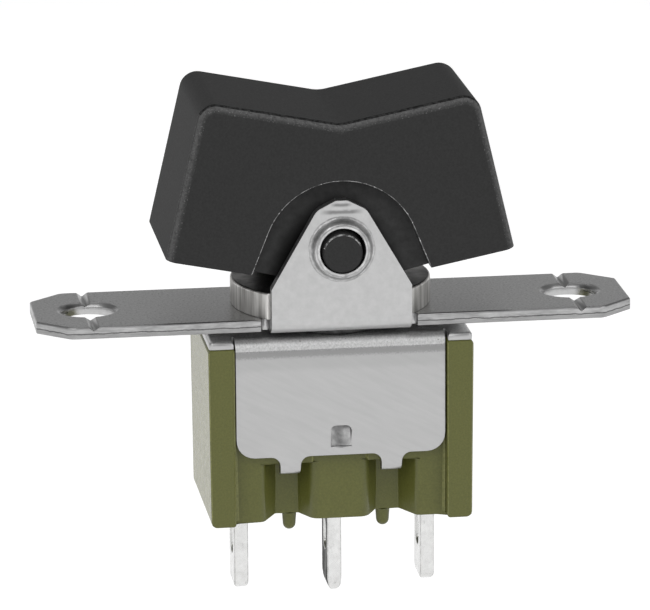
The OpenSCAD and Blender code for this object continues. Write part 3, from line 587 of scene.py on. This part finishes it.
# The bushing's upper face, faced on the lathe and left dull, drawn dark as painted shade for the
# rocker's shadow and dark reflection over it
FACED_BRASS_PAINTED_SHADE = Finish(
    name="faced_brass_painted_shade", colour="#7e7c7a", shade="#383736", roughness=(0.3, 0.4), metal=Metal.YES,
    patches=Grain(0.9, detail=4), relief=Grain(0.2), relief_mm=0.0006)
# Steel washer, drawn dark with a dull sheen as painted shade for the gap under the strap
DARK_WASHER_PAINTED_SHADE = Finish(
    name="dark_washer_painted_shade", colour="#4a4a4a", shade="#2c2c2c", roughness=(0.4, 0.5), metal=Metal.YES,
    patches=Grain(0.3, detail=3))
# Glass-filled diallyl phthalate, compression moulded: olive, with the sandy grain of its filler
MOULDED_RESIN = Finish(
    name="moulded_resin", colour="#61632d", shade="#525424", roughness=(0.34, 0.42), ior=1.57,
    gloss=0.36, patches=Grain(0.09), contrast=(0.22, 0.78), relief=Grain(0.1),
    relief_mm=0.0008)
# The same resin along the case's upright edges, drawn paler as a painted highlight on their
# rounding
RESIN_EDGE_PAINTED_HIGHLIGHT = Finish(
    name="resin_edge_painted_highlight", colour="#7d7e42", shade="#5f612c", roughness=(0.35, 0.45), ior=1.57,
    patches=Grain(0.2, detail=3), relief=Grain(0.14))
# The same resin on the case's ends, which the mould's slides have left smooth, drawn paler as a
# painted sheen of the pale room at a glancing angle
SMOOTH_RESIN_PAINTED_SHEEN = Finish(
    name="smooth_resin_painted_sheen", colour="#7b7942", shade="#6c6b38", roughness=(0.24, 0.32), ior=1.57,
    patches=Grain(0.3, detail=3), relief=Grain(0.16), relief_mm=0.0008)
# Copper alloy, silver plated: bright, with soft stains
SILVER_PLATE = Finish(
    name="silver_plate", colour="#dadad9", shade="#cbcbca", roughness=(0.2, 0.3), metal=Metal.YES,
    patches=Grain(0.5, detail=3), relief=Grain(0.3), relief_mm=0.0008,
    marks=(Specks("#a2a2a0", Grain(0.35, stretch=(1, 1, 2), detail=4), above=0.62, soft=0.12),))
# The blades' sheared corners, where the plate is thin and has gone grey
TARNISHED_CORNER = Finish(
    name="tarnished_corner", colour="#cfcfce", shade="#acacaa", roughness=(0.25, 0.35),
    metal=Metal.YES, patches=Grain(0.3, detail=3))
# The middle blade's flats, drawn as a dark skin, no longer metal to the eye, with greyer patches
# along the blade: a painted dark reflection of the surroundings in its flats
SILVER_PAINTED_DARK_REFLECTION = Finish(
    name="silver_painted_dark_reflection", colour="#787876", shade="#1e1e1c", roughness=(0.4, 0.5), ior=1.5,
    gloss=0.05, patches=Grain(0.5, stretch=(1, 1, 3), detail=3), contrast=(0.46, 0.68))
# Epoxy, poured and cured: dark and smooth
POURED_EPOXY = Finish(
    name="poured_epoxy", colour="#2c2b26", shade="#24231f", roughness=(0.22, 0.35), ior=1.55,
    relief=Grain(0.5), relief_mm=0.002)
# Brass strip, stamped: yellow, with a soft tarnish
STAMPED_BRASS = Finish(
    name="stamped_brass", colour="#d3ad5a", shade="#b8914a", roughness=(0.24, 0.36),
    metal=Metal.YES)
# Fine silver, headed into a button: white and slightly dull
SILVER_BUTTON = Finish(
    name="silver_button", colour="#eceae4", shade="#cfccc4", roughness=(0.22, 0.34),
    metal=Metal.YES)
# Steel, turned and nickel plated: bright round the axis
TURNED_STEEL = Finish(
    name="turned_steel", colour="#c8c8c6", shade="#acacaa", roughness=(0.18, 0.3), metal=Metal.YES,
    relief=Grain(0.1, stretch=(4, 4, 0.5)), relief_mm=0.0008)
# Steel wire, drawn: smooth along its length
DRAWN_WIRE = Finish(
    name="drawn_wire", colour="#cfcfcf", shade="#b4b4b4", roughness=(0.18, 0.26), metal=Metal.YES)
# Nylon without pigment, moulded: creamy, with a soft gloss
NATURAL_NYLON = Finish(
    name="natural_nylon", colour="#e6e0cd", shade="#dad3bd", roughness=(0.35, 0.45), ior=1.53)


def body_of(node: str) -> str:
    """Name of the body that a CAD node rides on."""
    bodies = frame["record"]["behaviour"]["bodies"]
    return next(body for body, nodes in bodies.items() if node in nodes)


@dataclass
class Blank:
    """Copy of a CAD node's mesh that is worked into a finished piece.

    Attributes:
        node: The CAD node.
        finishes: The piece's surfaces; the first is its main one.
        cuts: Planes that divide the faces round its holes, as an axis's number and a place along
            it in millimetres.
        crease: Angle in degrees above which an edge stays sharp.
        mesh: The mesh in work, with its loose triangles joined into plain faces.
    """

    node: str
    finishes: tuple[Finish, ...]
    cuts: tuple[tuple[int, float], ...] = ((0, 0.0), (1, 0.0))
    crease: float = 32
    mesh: bmesh.types.BMesh = field(default_factory=bmesh.new)

    def __post_init__(self) -> None:
        """Copy the node's mesh, cut it and join its triangles between the cuts."""
        mesh = self.mesh
        mesh.from_mesh(frame["nodes"][self.node].data)
        bmesh.ops.remove_doubles(mesh, verts=mesh.verts, dist=0.001 * MM)
        for axis, place in self.cuts:
            across = Vector([float(axis == number) for number in range(3)])
            bmesh.ops.bisect_plane(
                mesh, geom=[*mesh.verts, *mesh.edges, *mesh.faces], dist=0.001 * MM,
                plane_co=across * place * MM, plane_no=across)
            for edge in mesh.edges:
                if all(abs(vert.co[axis] - place * MM) < 0.002 * MM for vert in edge.verts):
                    edge.seam = True
        bmesh.ops.dissolve_limit(
            mesh, angle_limit=radians(0.5), verts=mesh.verts, edges=mesh.edges, delimit={"SEAM"})

    def dress(self, finish: Finish, chosen: FaceTest) -> None:
        """Give the faces that pass a test one of the piece's finishes.

        Args:
            finish: One of the piece's finishes.
            chosen: Test that a face has to pass.
        """
        index = self.finishes.index(finish)
        self.mesh.normal_update()
        for face in self.mesh.faces:
            if chosen(face):
                face.material_index = index

    def round_edges(
        self,
        width: float,
        chosen: EdgeTest | None = None,
        segments: int = 2,
        sharper_than: float = 40,
        finish: Finish | None = None,
    ) -> None:
        """Round the mesh's sharp edges.

        Args:
            width: Width of the rounding on each side of an edge, in metres.
            chosen: Test that an edge has to pass.
            segments: Faces across each rounding.
            sharper_than: Angle in degrees above which an edge is rounded.
            finish: The piece's finish that the new faces get, or None for their neighbours'.
        """
        self.mesh.normal_update()
        sharp = [
            edge for edge in self.mesh.edges
            if edge.is_manifold
            and edge.calc_face_angle(0) > radians(sharper_than)
            and (chosen is None or chosen(edge))
        ]
        made = bmesh.ops.bevel(
            self.mesh, geom=sharp, offset=width, offset_type="OFFSET", affect="EDGES",
            segments=segments, profile=0.5, material=-1, clamp_overlap=False)
        if finish:
            for face in made["faces"]:
                face.material_index = self.finishes.index(finish)

    def piece(self) -> None:
        """Turn the mesh into the finished piece, which stands for the node on its body."""
        data = bpy.data.meshes.new(f"{self.node}_finished")
        self.mesh.to_mesh(data)
        self.mesh.free()
        data.shade_smooth()
        data.set_sharp_from_angle(angle=radians(self.crease))
        made = put(data.name, data)
        for finish in self.finishes:
            data.materials.append(finish.material())
        weighted = made.modifiers.new("flat_faces_stay_flat", "WEIGHTED_NORMAL")
        weighted.keep_sharp = True
        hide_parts(self.node)
        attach(made, body_of(self.node))
        log.info("%s: %d faces", made.name, len(data.polygons))


def dress_node(node: str, finish: Finish) -> None:
    """Give a CAD node that stays as it is a finish.

    Args:
        node: The CAD node.
        finish: The finish that it gets.
    """
    data = frame["nodes"][node].data
    data.materials.clear()
    data.materials.append(finish.material())
    log.info("%s: dressed", node)


def middle(edge: Edge) -> Vector:
    """Midpoint of an edge in millimetres."""
    return (edge.verts[0].co + edge.verts[1].co) / 2 / MM


def centre(face: Face) -> Vector:
    """Middle of a face in millimetres."""
    return face.calc_center_median() / MM


def from_pivot(place: Vector) -> float:
    """Distance of a place from the rocker's pivot axis, both in millimetres."""
    return Vector((place.x, place.z - PIVOT_Z)).length


def along(edge: Edge, axis: int) -> bool:
    """Whether an edge runs along X (0), Y (1) or Z (2)."""
    run = edge.verts[1].co - edge.verts[0].co
    return abs(run[axis]) > 0.95 * run.length


@dataclass
class Rocker:
    """See-saw button, moulded in one piece. Values without MM are in millimetres.

    Attributes:
        side_y: Distance of its side faces from the middle.
        floor_y: Distance of its recesses' floors from the middle.
        boss_r: Radius of its pivot bosses.
        boss_end_y: Distance of the bosses' ends from the middle.
        boss_share: Share of the CAD bosses' radius at which they are drawn.
        boss_sag: How low they hang in their holes by their play.
        arch_x: Distance from the middle within which the arches lie.
        valley_rise: Height over the pivot above which the valley lies.
        rim: Depth of the rounding round a side face.
        top_rise: Height over the pivot above which its top lies.
        top_sink: How much lower than the CAD's its top is drawn.
        skirt_drop: Depth under the pivot below which its skirt lies.
        skirt_x: Distance from the middle beyond which the skirt is drawn higher.
        skirt_lift: How much higher than the CAD's the skirt is drawn from there on.
        skirt_slope: How much higher still for each length outwards.
        crease: Width of the blend across the valley.
        flash: Width of the flash along the arches.
        edge: Width of the other broken edges.
    """

    side_y: float = 4.35
    floor_y: float = 3.47
    boss_r: float = 1.05
    boss_end_y: float = 4.82
    boss_share: float = 0.93
    boss_sag: float = 0.135 * MM
    arch_x: float = 5.0
    valley_rise: float = 4.0
    rim: float = 0.55
    top_rise: float = 5.0
    top_sink: float = 0.085 * MM
    skirt_drop: float = 1.2
    skirt_x: float = 4.0 * MM
    skirt_lift: float = 0.08 * MM
    skirt_slope: float = 0.03
    crease: float = 0.3 * MM
    flash: float = 0.04 * MM
    edge: float = 0.05 * MM

    def on_arch(self, edge: Edge) -> bool:
        """Whether an edge lies where an arched recess meets a side face.

        Args:
            edge: An edge of the button.

        Returns:
            True if it lies there.
        """
        place = middle(edge)
        walls = [face.normal for face in edge.link_faces if abs(face.normal.y) < 0.5]
        if len(walls) != 1 or abs(abs(place.y) - self.side_y) >= NEAR:
            return False
        # Low down, a wall that faces up or down belongs to the skirt
        steep = place.z > PIVOT_Z + 0.5 or abs(walls[0].z) < 0.8
        return steep and abs(place.x) < self.arch_x

    def on_valley(self, edge: Edge) -> bool:
        """Whether an edge lies along the valley between the two slopes."""
        ends = [vert.co / MM for vert in edge.verts]
        return all(abs(end.x) < CLOSE and end.z > PIVOT_Z + self.valley_rise for end in ends)

    def on_rim(self, face: Face) -> bool:
        """Whether a face belongs to the rounding round a side face.

        Args:
            face: A face of the button.

        Returns:
            True if it belongs there.
        """
        place = centre(face)
        beside = abs(place.y) > self.side_y - self.rim and from_pivot(place) > 2
        return beside and 0.12 < abs(face.normal.y) < 0.97

    def on_blend(self, face: Face) -> bool:
        """Whether a face is the part of the rounding that meets the top."""
        return self.on_rim(face) and abs(face.normal.y) < 0.4 and face.normal.z > 0.5

    def on_floor(self, face: Face) -> bool:
        """Whether a face is the floor of an arched recess."""
        place = centre(face)
        return abs(face.normal.y) > 0.99 and abs(abs(place.y) - self.floor_y) < NEAR

    def on_boss_shoulder(self, face: Face) -> bool:
        """Whether a face is the upper half of a boss's chamfer, which gets a painted highlight.

        Args:
            face: A face of the button.

        Returns:
            True if it is.
        """
        place = centre(face)
        rim = self.boss_r - 0.15 < from_pivot(place) < self.boss_r
        return rim and 0.3 < abs(face.normal.y) < 0.95 and face.normal.z > 0.2

    def on_boss(self, edge: Edge) -> bool:
        """Whether an edge lies at a boss's end."""
        place = middle(edge)
        return abs(place.y) > self.boss_end_y - 0.2 and from_pivot(place) < self.boss_r + 0.05

    def in_dimple(self, face: Face) -> bool:
        """Whether a face belongs to the dimple in a boss's end.

        Args:
            face: A face of the button.

        Returns:
            True if it belongs there.
        """
        place = centre(face)
        deep = self.floor_y + 0.6 < abs(place.y) < self.boss_end_y - 0.01
        return deep and from_pivot(place) < self.boss_r * 0.6

    def fill_dimples(self, blank: Blank) -> None:
        """Fill the dimples of the CAD bosses' ends, which are drawn flat.

        Args:
            blank: The button.
        """
        gone = [face for face in blank.mesh.faces if self.in_dimple(face)]
        bmesh.ops.delete(blank.mesh, geom=gone, context="FACES")
        rims = [edge for edge in blank.mesh.edges if edge.is_boundary]
        bmesh.ops.holes_fill(blank.mesh, edges=rims, sides=0)
        bmesh.ops.recalc_face_normals(blank.mesh, faces=blank.mesh.faces)

    def correct(self, blank: Blank) -> None:
        """Bring the CAD's bosses, top and skirt to the places at which they are drawn.

        Args:
            blank: The button.
        """
        pivot = PIVOT_Z * MM
        for vert in blank.mesh.verts:
            stands_out = abs(vert.co.y) > (self.floor_y + CLOSE) * MM
            if stands_out and from_pivot(vert.co / MM) < self.boss_r + CLOSE:
                vert.co.x *= self.boss_share
                vert.co.z = pivot + (vert.co.z - pivot) * self.boss_share - self.boss_sag
        top = [v for v in blank.mesh.verts if v.co.z > (PIVOT_Z + self.top_rise) * MM]
        bmesh.ops.translate(blank.mesh, verts=top, vec=(0, 0, -self.top_sink))
        for vert in blank.mesh.verts:
            outwards = abs(vert.co.x) - self.skirt_x
            if outwards > 0 and vert.co.z < (PIVOT_Z - self.skirt_drop) * MM:
                vert.co.z += self.skirt_lift + self.skirt_slope * outwards

    def make(self) -> None:
        """Build the button."""
        finishes = (MOULDED_NYLON, RIM_NYLON_WEAR_AND_HIGHLIGHT, BLEND_NYLON_PAINTED_SHADE, RECESS_NYLON_PAINTED_SHADE, NYLON_FLASH_AND_HIGHLIGHT)
        blank = Blank("rocker_button", finishes)
        self.fill_dimples(blank)
        # Painted highlight along the rims' rounding, with the specks of real wear
        blank.dress(RIM_NYLON_WEAR_AND_HIGHLIGHT, self.on_rim)
        # Painted shade: a dark ragged line where the rounding meets the top
        blank.dress(BLEND_NYLON_PAINTED_SHADE, self.on_blend)
        # Painted shade: the recess floors darken round the bosses as if in the ears' shadow
        blank.dress(RECESS_NYLON_PAINTED_SHADE, self.on_floor)
        # Painted highlight on the upper half of the bosses' chamfers
        blank.dress(NYLON_FLASH_AND_HIGHLIGHT, self.on_boss_shoulder)
        self.correct(blank)
        blank.round_edges(self.flash, self.on_arch, finish=NYLON_FLASH_AND_HIGHLIGHT)
        blank.round_edges(self.crease, self.on_valley, segments=4, sharper_than=3)
        blank.round_edges(self.edge, lambda edge: not (self.on_arch(edge) or self.on_boss(edge)))
        blank.piece()


@dataclass
class Bracket:
    """Mounting bracket, folded from one sheet. Values without MM are in millimetres.

    Attributes:
        thickness: Thickness of the sheet.
        end_x: Distance from the middle beyond which only the strap's ends lie.
        side_y: Distance from the middle beyond which the strap's sides lie.
        ear_x: Half of the ears' width, a little less.
        ear_y: Distance of the ears' outer faces from the middle, a little less.
        collar_r: Radius of the scuffed rings round the holes.
        roll: Width that the die has rolled over along the top of the outline.
        collar: Width of the rounding at the ears' pressed collars.
        edge: Width of the other broken edges.
    """

    thickness: float = 0.6
    end_x: float = 13.0
    side_y: float = 3.3
    ear_x: float = 3.4
    ear_y: float = 4.3
    collar_r: float = 1.8
    roll: float = 0.1 * MM
    collar: float = 0.09 * MM
    edge: float = 0.04 * MM

    def on_outline(self, place: Vector) -> bool:
        """Whether a place in millimetres lies at the strap's outline."""
        beside_ear = abs(place.y) > self.side_y and abs(place.x) > self.ear_x
        return abs(place.x) > self.end_x or beside_ear

    def on_roll(self, edge: Edge) -> bool:
        """Whether an edge runs along the outline of the strap's top face.

        Args:
            edge: An edge of the bracket.

        Returns:
            True if it runs there.
        """
        ends = [vert.co / MM for vert in edge.verts]
        top = all(abs(end.z) < CLOSE for end in ends)
        return top and all(self.on_outline(end) for end in ends)

    def on_collar(self, edge: Edge) -> bool:
        """Whether an edge runs round a pressed collar."""
        place = middle(edge)
        return abs(place.y) > self.ear_y and 1.25 < from_pivot(place) < 1.7

    def is_collar(self, face: Face) -> bool:
        """Whether a face belongs to a pressed collar.

        Args:
            face: A face of the bracket.

        Returns:
            True if it belongs there.
        """
        place = centre(face)
        reach = max(from_pivot(vert.co / MM) for vert in face.verts)
        return abs(place.y) > self.ear_y and reach < self.collar_r

    def is_strap(self, face: Face) -> bool:
        """Whether a face is one of the strap's flat faces."""
        return abs(face.normal.z) > 0.9 and centre(face).z < 0.1

    def is_side(self, face: Face) -> bool:
        """Whether a face is an ear's sheared side.

        Args:
            face: A face of the bracket.

        Returns:
            True if it is.
        """
        place = centre(face)
        on_ear = place.z > 0.1 and from_pivot(place) > self.collar_r
        return on_ear and abs(face.normal.x) > 0.3

    def is_sheared(self, face: Face) -> bool:
        """Whether a face is the strap's sheared edge."""
        place = centre(face)
        return abs(face.normal.z) < 0.3 and -self.thickness < place.z < 0 and self.on_outline(place)

    def make(self) -> None:
        """Build the bracket."""
        blank = Blank(
            "mounting_bracket",
            (PLATED_SHEET, ROLLED_SHEET, PUNCHED_COLLAR, SHEARED_EDGE, SHEARED_SIDE))
        blank.dress(ROLLED_SHEET, self.is_strap)
        blank.dress(SHEARED_EDGE, self.is_sheared)
        blank.dress(SHEARED_SIDE, self.is_side)
        blank.dress(PUNCHED_COLLAR, self.is_collar)
        blank.round_edges(self.roll, self.on_roll, segments=3)
        blank.round_edges(self.collar, self.on_collar, segments=3, finish=PUNCHED_COLLAR)
        blank.round_edges(self.edge, lambda edge: not self.on_collar(edge))
        blank.piece()


@dataclass
class BushingSet:
    """Bushing and spacer washer.

    Attributes:
        edge: Width of their broken edges.
    """

    edge: float = 0.06 * MM

    def make(self) -> None:
        """Build both pieces."""
        # The bushing's side gets painted reflections, stripes along its axis
        bushing = Blank("bushing", (PLATED_BRASS_PAINTED_REFLECTIONS, FACED_BRASS_PAINTED_SHADE))
        # Painted shade: the bushing's upper face drawn dark under the rocker
        bushing.dress(FACED_BRASS_PAINTED_SHADE, lambda face: face.normal.z > 0.9)
        # The spacer washer is drawn dark as painted shade in the gap under the strap
        for blank in (bushing, Blank("spacer_washer", (DARK_WASHER_PAINTED_SHADE,))):
            blank.round_edges(self.edge)
            blank.piece()


@dataclass
class Cover:
    """Frame cover that clips over the case. Values without MM are in millimetres.

    Attributes:
        top_z: Height of its upper face.
        flange_x: Half of the flanges' width, outside which the wings lie.
        tongue_z: Heights of the lanced tongue's foot and tip.
        tongue_x: Half of the tongue's width.
        wing: Width of the rounding along the wings over the pillars.
        window: Radius of the window's corners over the tongue.
        foot: Width of the bend at the tongue's foot.
        edge: Width of the other broken edges.
    """

    top_z: float = -0.9
    flange_x: float = 5.3
    tongue_z: tuple[float, float] = (-6.5, -5.45)
    tongue_x: float = 0.5
    wing: float = 0.17 * MM
    window: float = 0.24 * MM
    foot: float = 0.1 * MM
    edge: float = 0.04 * MM

    def on_wing(self, edge: Edge) -> bool:
        """Whether an edge runs along the top of a wing's outline.

        Args:
            edge: An edge of the cover.

        Returns:
            True if it runs there.
        """
        place = middle(edge)
        level = not along(edge, 2) and abs(place.z - self.top_z) < CLOSE
        return level and abs(place.x) > self.flange_x

    def on_window(self, edge: Edge) -> bool:
        """Whether an edge is one of the window's upper corners.

        Args:
            edge: An edge of the cover.

        Returns:
            True if it is.
        """
        place = middle(edge)
        at_tip = abs(place.z - self.tongue_z[1]) < NEAR
        return at_tip and abs(abs(place.x) - self.tongue_x) < NEAR and along(edge, 1)

    def on_foot(self, edge: Edge) -> bool:
        """Whether an edge is the bend at the tongue's foot.

        Args:
            edge: An edge of the cover.

        Returns:
            True if it is.
        """
        place = middle(edge)
        at_foot = abs(place.z - self.tongue_z[0]) < 0.15
        return at_foot and abs(place.x) < self.tongue_x and along(edge, 0)

    def is_bent(self, face: Face) -> bool:
        """Whether a face lies on the top or over a fold."""
        place = centre(face)
        return place.z > self.top_z - 0.9 and face.normal.z > 0.12

    def is_tongue(self, face: Face) -> bool:
        """Whether a face belongs to the lanced tongue.

        Args:
            face: A face of the cover.

        Returns:
            True if it belongs there.
        """
        place = centre(face)
        low, high = self.tongue_z
        return low < place.z < high and abs(place.x) < self.tongue_x and abs(face.normal.y) < 0.99

    def make(self) -> None:
        """Build the cover."""
        blank = Blank("frame_cover", (BRUSHED_STAINLESS, BENT_STAINLESS_GRAIN_AND_SHEEN, TONGUE_PAINTED_SHADE))
        # Paler, grained finish on the faces that look up: real grain and a painted sheen
        blank.dress(BENT_STAINLESS_GRAIN_AND_SHEEN, self.is_bent)
        # Painted shade on the lanced tongue in its hollow
        blank.dress(TONGUE_PAINTED_SHADE, self.is_tongue)
        blank.round_edges(self.window, self.on_window, segments=4)
        blank.round_edges(self.foot, self.on_foot, segments=3, sharper_than=8)
        blank.round_edges(self.wing, self.on_wing, segments=4)
        blank.round_edges(self.edge)
        blank.piece()


@dataclass
class Case:
    """Moulded case with the poured seals. Values without MM are in millimetres.

    Attributes:
        end_x: Distance from the middle beyond which its end faces lie.
        seam_x: Distance from the middle of the seams just beside the studs' centres.
        edge: Width of its broken edges.
    """

    end_x: float = 6.0
    seam_x: float = 2.42
    edge: float = 0.06 * MM

    def is_end(self, face: Face) -> bool:
        """Whether a face is one of the case's two ends."""
        return abs(face.normal.x) > 0.97 and abs(centre(face).x) > self.end_x

    def make(self) -> None:
        """Build the case and its seals."""
        blank = Blank(
            "case_base", (MOULDED_RESIN, SMOOTH_RESIN_PAINTED_SHEEN, RESIN_EDGE_PAINTED_HIGHLIGHT),
            cuts=((0, -self.seam_x), (0, 0.0), (0, self.seam_x), (1, 0.0)))
        # Painted sheen: the case's ends drawn paler
        blank.dress(SMOOTH_RESIN_PAINTED_SHEEN, self.is_end)
        # Painted highlight along the case's upright edges
        blank.round_edges(self.edge, lambda edge: along(edge, 2), finish=RESIN_EDGE_PAINTED_HIGHLIGHT)
        blank.round_edges(self.edge)
        blank.piece()
        dress_node("terminal_seals", POURED_EPOXY)


@dataclass
class Terminals:
    """The three blades. Values without MM are in millimetres.

    Attributes:
        drops: Heights of the outer and the middle blades' ends.
        taper: How much each side of a blade draws in at its end.
        reaches: Length of the outer and of the middle taper.
        steps: Heights of the cuts that make the tip round, as shares of the taper's length.
        tip: Length over which a blade's width is measured.
        edge: Width of their broken edges.
    """

    drops: tuple[float, float] = (-14.57, -14.94)
    taper: float = 0.27
    reaches: tuple[float, float] = (0.34, 0.9)
    steps: tuple[float, ...] = (1.0, 0.75, 0.5, 0.35, 0.22, 0.1)
    tip: float = 3.0
    edge: float = 0.06 * MM

    def draw_in(self, blank: Blank, end: float, reach: float) -> None:
        """Draw a blade's end in to a rounded tip.

        Args:
            blank: The blade.
            end: Height of its end in millimetres.
            reach: Length of the taper in millimetres.
        """
        mesh = blank.mesh
        for share in self.steps:
            bmesh.ops.bisect_plane(
                mesh, geom=[*mesh.verts, *mesh.edges, *mesh.faces], plane_no=(0, 0, 1),
                plane_co=(0, 0, (end + reach * share) * MM))
        middle_x = sum(vert.co.x for vert in mesh.verts) / len(mesh.verts)
        low = [vert.co.x for vert in mesh.verts if vert.co.z < (end + self.tip) * MM]
        half = max(abs(x - middle_x) for x in low)
        for vert in mesh.verts:
            left = 1 - (vert.co.z / MM - end) / reach
            if left > 0:
                drawn = self.taper * (1 - sqrt(max(0.0, 1 - left * left))) * MM
                vert.co.x -= (vert.co.x - middle_x) / half * drawn

    def make(self) -> None:
        """Build the blades."""
        for place in ("left", "center", "right"):
            is_middle = place == "center"
            blank = Blank(
                f"terminal_{place}", (SILVER_PLATE, TARNISHED_CORNER, SILVER_PAINTED_DARK_REFLECTION),
                cuts=((1, 0.0),))
            self.draw_in(blank, self.drops[is_middle], self.reaches[is_middle])
            if is_middle:
                # Painted dark reflection on the middle blade's flats
                blank.dress(SILVER_PAINTED_DARK_REFLECTION, lambda face: abs(face.normal.x) > 0.9)
            blank.round_edges(self.edge, finish=TARNISHED_CORNER)
            blank.piece()


@dataclass
class Mechanism:
    """Lever, plunger and contacts inside the case."""

    def make(self) -> None:
        """Dress the inner pieces."""
        dressing = (
            (STAMPED_BRASS, ("contact_cradle", "moving_contact")),
            (SILVER_BUTTON, (
                "fixed_contact_left", "fixed_contact_right",
                "contact_tip_left", "contact_tip_right")),
            (TURNED_STEEL, ("pivot_pin", "toggle_lever")),
            (NATURAL_NYLON, ("actuator_block", "plunger")),
            (DRAWN_WIRE, ("plunger_spring",)),
        )
        for finish, nodes in dressing:
            for node in nodes:
                dress_node(node, finish)


@dataclass(frozen=True)
class Softbox:
    """Large soft lamp that points at the switch.

    Attributes:
        name: The lamp's name.
        azimuth: Its bearing in degrees, from 0 in front to 90 on the right.
        elevation: Its height above the horizon in degrees.
        distance: How far away it stands, in metres.
        width: Its width in metres.
        height: Its height in metres.
        power: Its power in watts.
    """

    name: str
    azimuth: float
    elevation: float
    distance: float
    width: float
    height: float
    power: float

    def place(self, target: Vector) -> None:
        """Set the lamp up so that it faces the target.

        Args:
            target: The point that it lights, in metres.
        """
        light = bpy.data.lights.new(self.name, "AREA")
        light.shape = "RECTANGLE"
        light.size, light.size_y = self.width, self.height
        light.energy = self.power
        lamp = put(self.name, light)
        turn = aimed(self.azimuth, self.elevation)
        back = turn @ Vector((0, 0, 1))
        lamp.matrix_world = Matrix.Translation(target + back * self.distance) @ turn


@dataclass
class Studio:
    """Pale floor, soft lamps, white surroundings and the camera.

    Attributes:
        floor_drop: Depth of the floor below the strap.
        floor_size: Width of the floor.
        eye: Where the camera stands.
        azimuth: The camera's bearing in degrees.
        elevation: Its height above the horizon in degrees.
        roll: Its turn about its own axis in degrees.
        lens: Its focal length in millimetres on a sensor of 36 mm.
        glow: How brightly the floor is seen beyond what lights it.
        ambient: Strength of the even light from all round.
        boxes: The lamps.
    """

    floor_drop: float = 45 * MM
    floor_size: float = 4.0
    eye: Vector = Vector((-33.718, -247.054, 65.027)) * MM
    azimuth: float = -7.714
    elevation: float = 14.677
    roll: float = -0.39
    lens: float = 287.245
    glow: float = 0.45
    ambient: float = 0.5
    boxes: tuple[Softbox, ...] = (
        Softbox("key_box", -35, 42, 0.6, 0.6, 0.5, 1.5),
        Softbox("fill_box", 50, 30, 0.6, 0.5, 0.5, 0.9),
        Softbox("top_box", 170, 70, 0.6, 0.5, 0.3, 0.3),
    )

    def camera(self) -> None:
        """Set the camera up at the photograph's viewpoint."""
        data = bpy.data.cameras.new("viewpoint")
        data.sensor_width = 36
        data.lens = self.lens
        data.clip_start, data.clip_end = 0.01, 20
        camera = put("viewpoint", data)
        camera.matrix_world = (
            Matrix.Translation(self.eye) @ aimed(self.azimuth, self.elevation)
            @ Matrix.Rotation(radians(self.roll), 4, "Z"))
        bpy.context.scene.camera = camera

    def floor(self) -> None:
        """Lay the pale floor, which looks white and keeps the switch's shadow."""
        mesh = bmesh.new()
        bmesh.ops.create_grid(mesh, x_segments=1, y_segments=1, size=self.floor_size / 2)
        bmesh.ops.translate(mesh, verts=mesh.verts, vec=(0, 0, -self.floor_drop))
        data = bpy.data.meshes.new("studio_floor")
        mesh.to_mesh(data)
        mesh.free()
        floor = put("studio_floor", data)
        made = bpy.data.materials.new("studio_floor")
        tree = cleared(made)
        matt = add_node(tree, "ShaderNodeBsdfDiffuse", {"Color": linear("#e4e4e4")})
        glow = add_node(
            tree, "ShaderNodeEmission", {"Strength": self.glow}, {"Color": self.seen(tree)})
        both = add_node(tree, "ShaderNodeAddShader", links={0: matt.outputs[0], 1: glow.outputs[0]})
        add_node(tree, "ShaderNodeOutputMaterial", links={"Surface": both.outputs[0]})
        data.materials.append(made)

    def seen(self, tree: Tree) -> Socket:
        """Add a value of 1 on camera, glossy and transmission rays and 0 on others.

        Args:
            tree: The node tree of the floor's material or of the world.

        Returns:
            The value's socket.
        """
        path = add_node(tree, "ShaderNodeLightPath")
        total = path.outputs["Is Camera Ray"]
        for ray in ("Is Glossy Ray", "Is Transmission Ray"):
            total = add_node(
                tree, "ShaderNodeMath", {"operation": "MAXIMUM"}, {0: total, 1: path.outputs[ray]}
            ).outputs[0]
        return total

    def surroundings(self) -> None:
        """Light the room evenly and show it white, falling to grey overhead."""
        world = bpy.data.worlds.new("studio_room")
        bpy.context.scene.world = world
        tree = cleared(world)
        place = add_node(tree, "ShaderNodeTexCoord")
        height = add_node(tree, "ShaderNodeSeparateXYZ", links={0: place.outputs["Generated"]})
        fall = add_node(
            tree, "ShaderNodeMapRange",
            {"From Min": 0.06, "From Max": 0.34, "To Min": 1.0, "To Max": 0.16},
            {"Value": height.outputs["Z"]})
        white = linear("#ffffff")
        even = add_node(
            tree, "ShaderNodeBackground", {"Color": white, "Strength": self.ambient})
        shown = add_node(
            tree, "ShaderNodeBackground", {"Color": white}, {"Strength": fall.outputs[0]})
        mix = add_node(
            tree, "ShaderNodeMixShader",
            links={0: self.seen(tree), 1: even.outputs[0], 2: shown.outputs[0]})
        add_node(tree, "ShaderNodeOutputWorld", links={"Surface": mix.outputs[0]})

    def make(self) -> None:
        """Set up the whole studio."""
        low, high = CAD_BOX
        self.camera()
        self.floor()
        self.surroundings()
        for box in self.boxes:
            box.place((low + high) / 2)
        bpy.context.scene.view_settings.view_transform = "Standard"
        log.info("studio: %d lamps", len(self.boxes))


def main() -> None:
    """Build the switch piece by piece, then the studio round it."""
    logging.basicConfig(level=logging.INFO, format="%(name)s: %(message)s")
    parts = (
        Rocker(), Bracket(), BushingSet(), Cover(), Case(), Terminals(), Mechanism(), Studio())
    for part in parts:
        part.make()


if __name__ == "__main__":
    main()
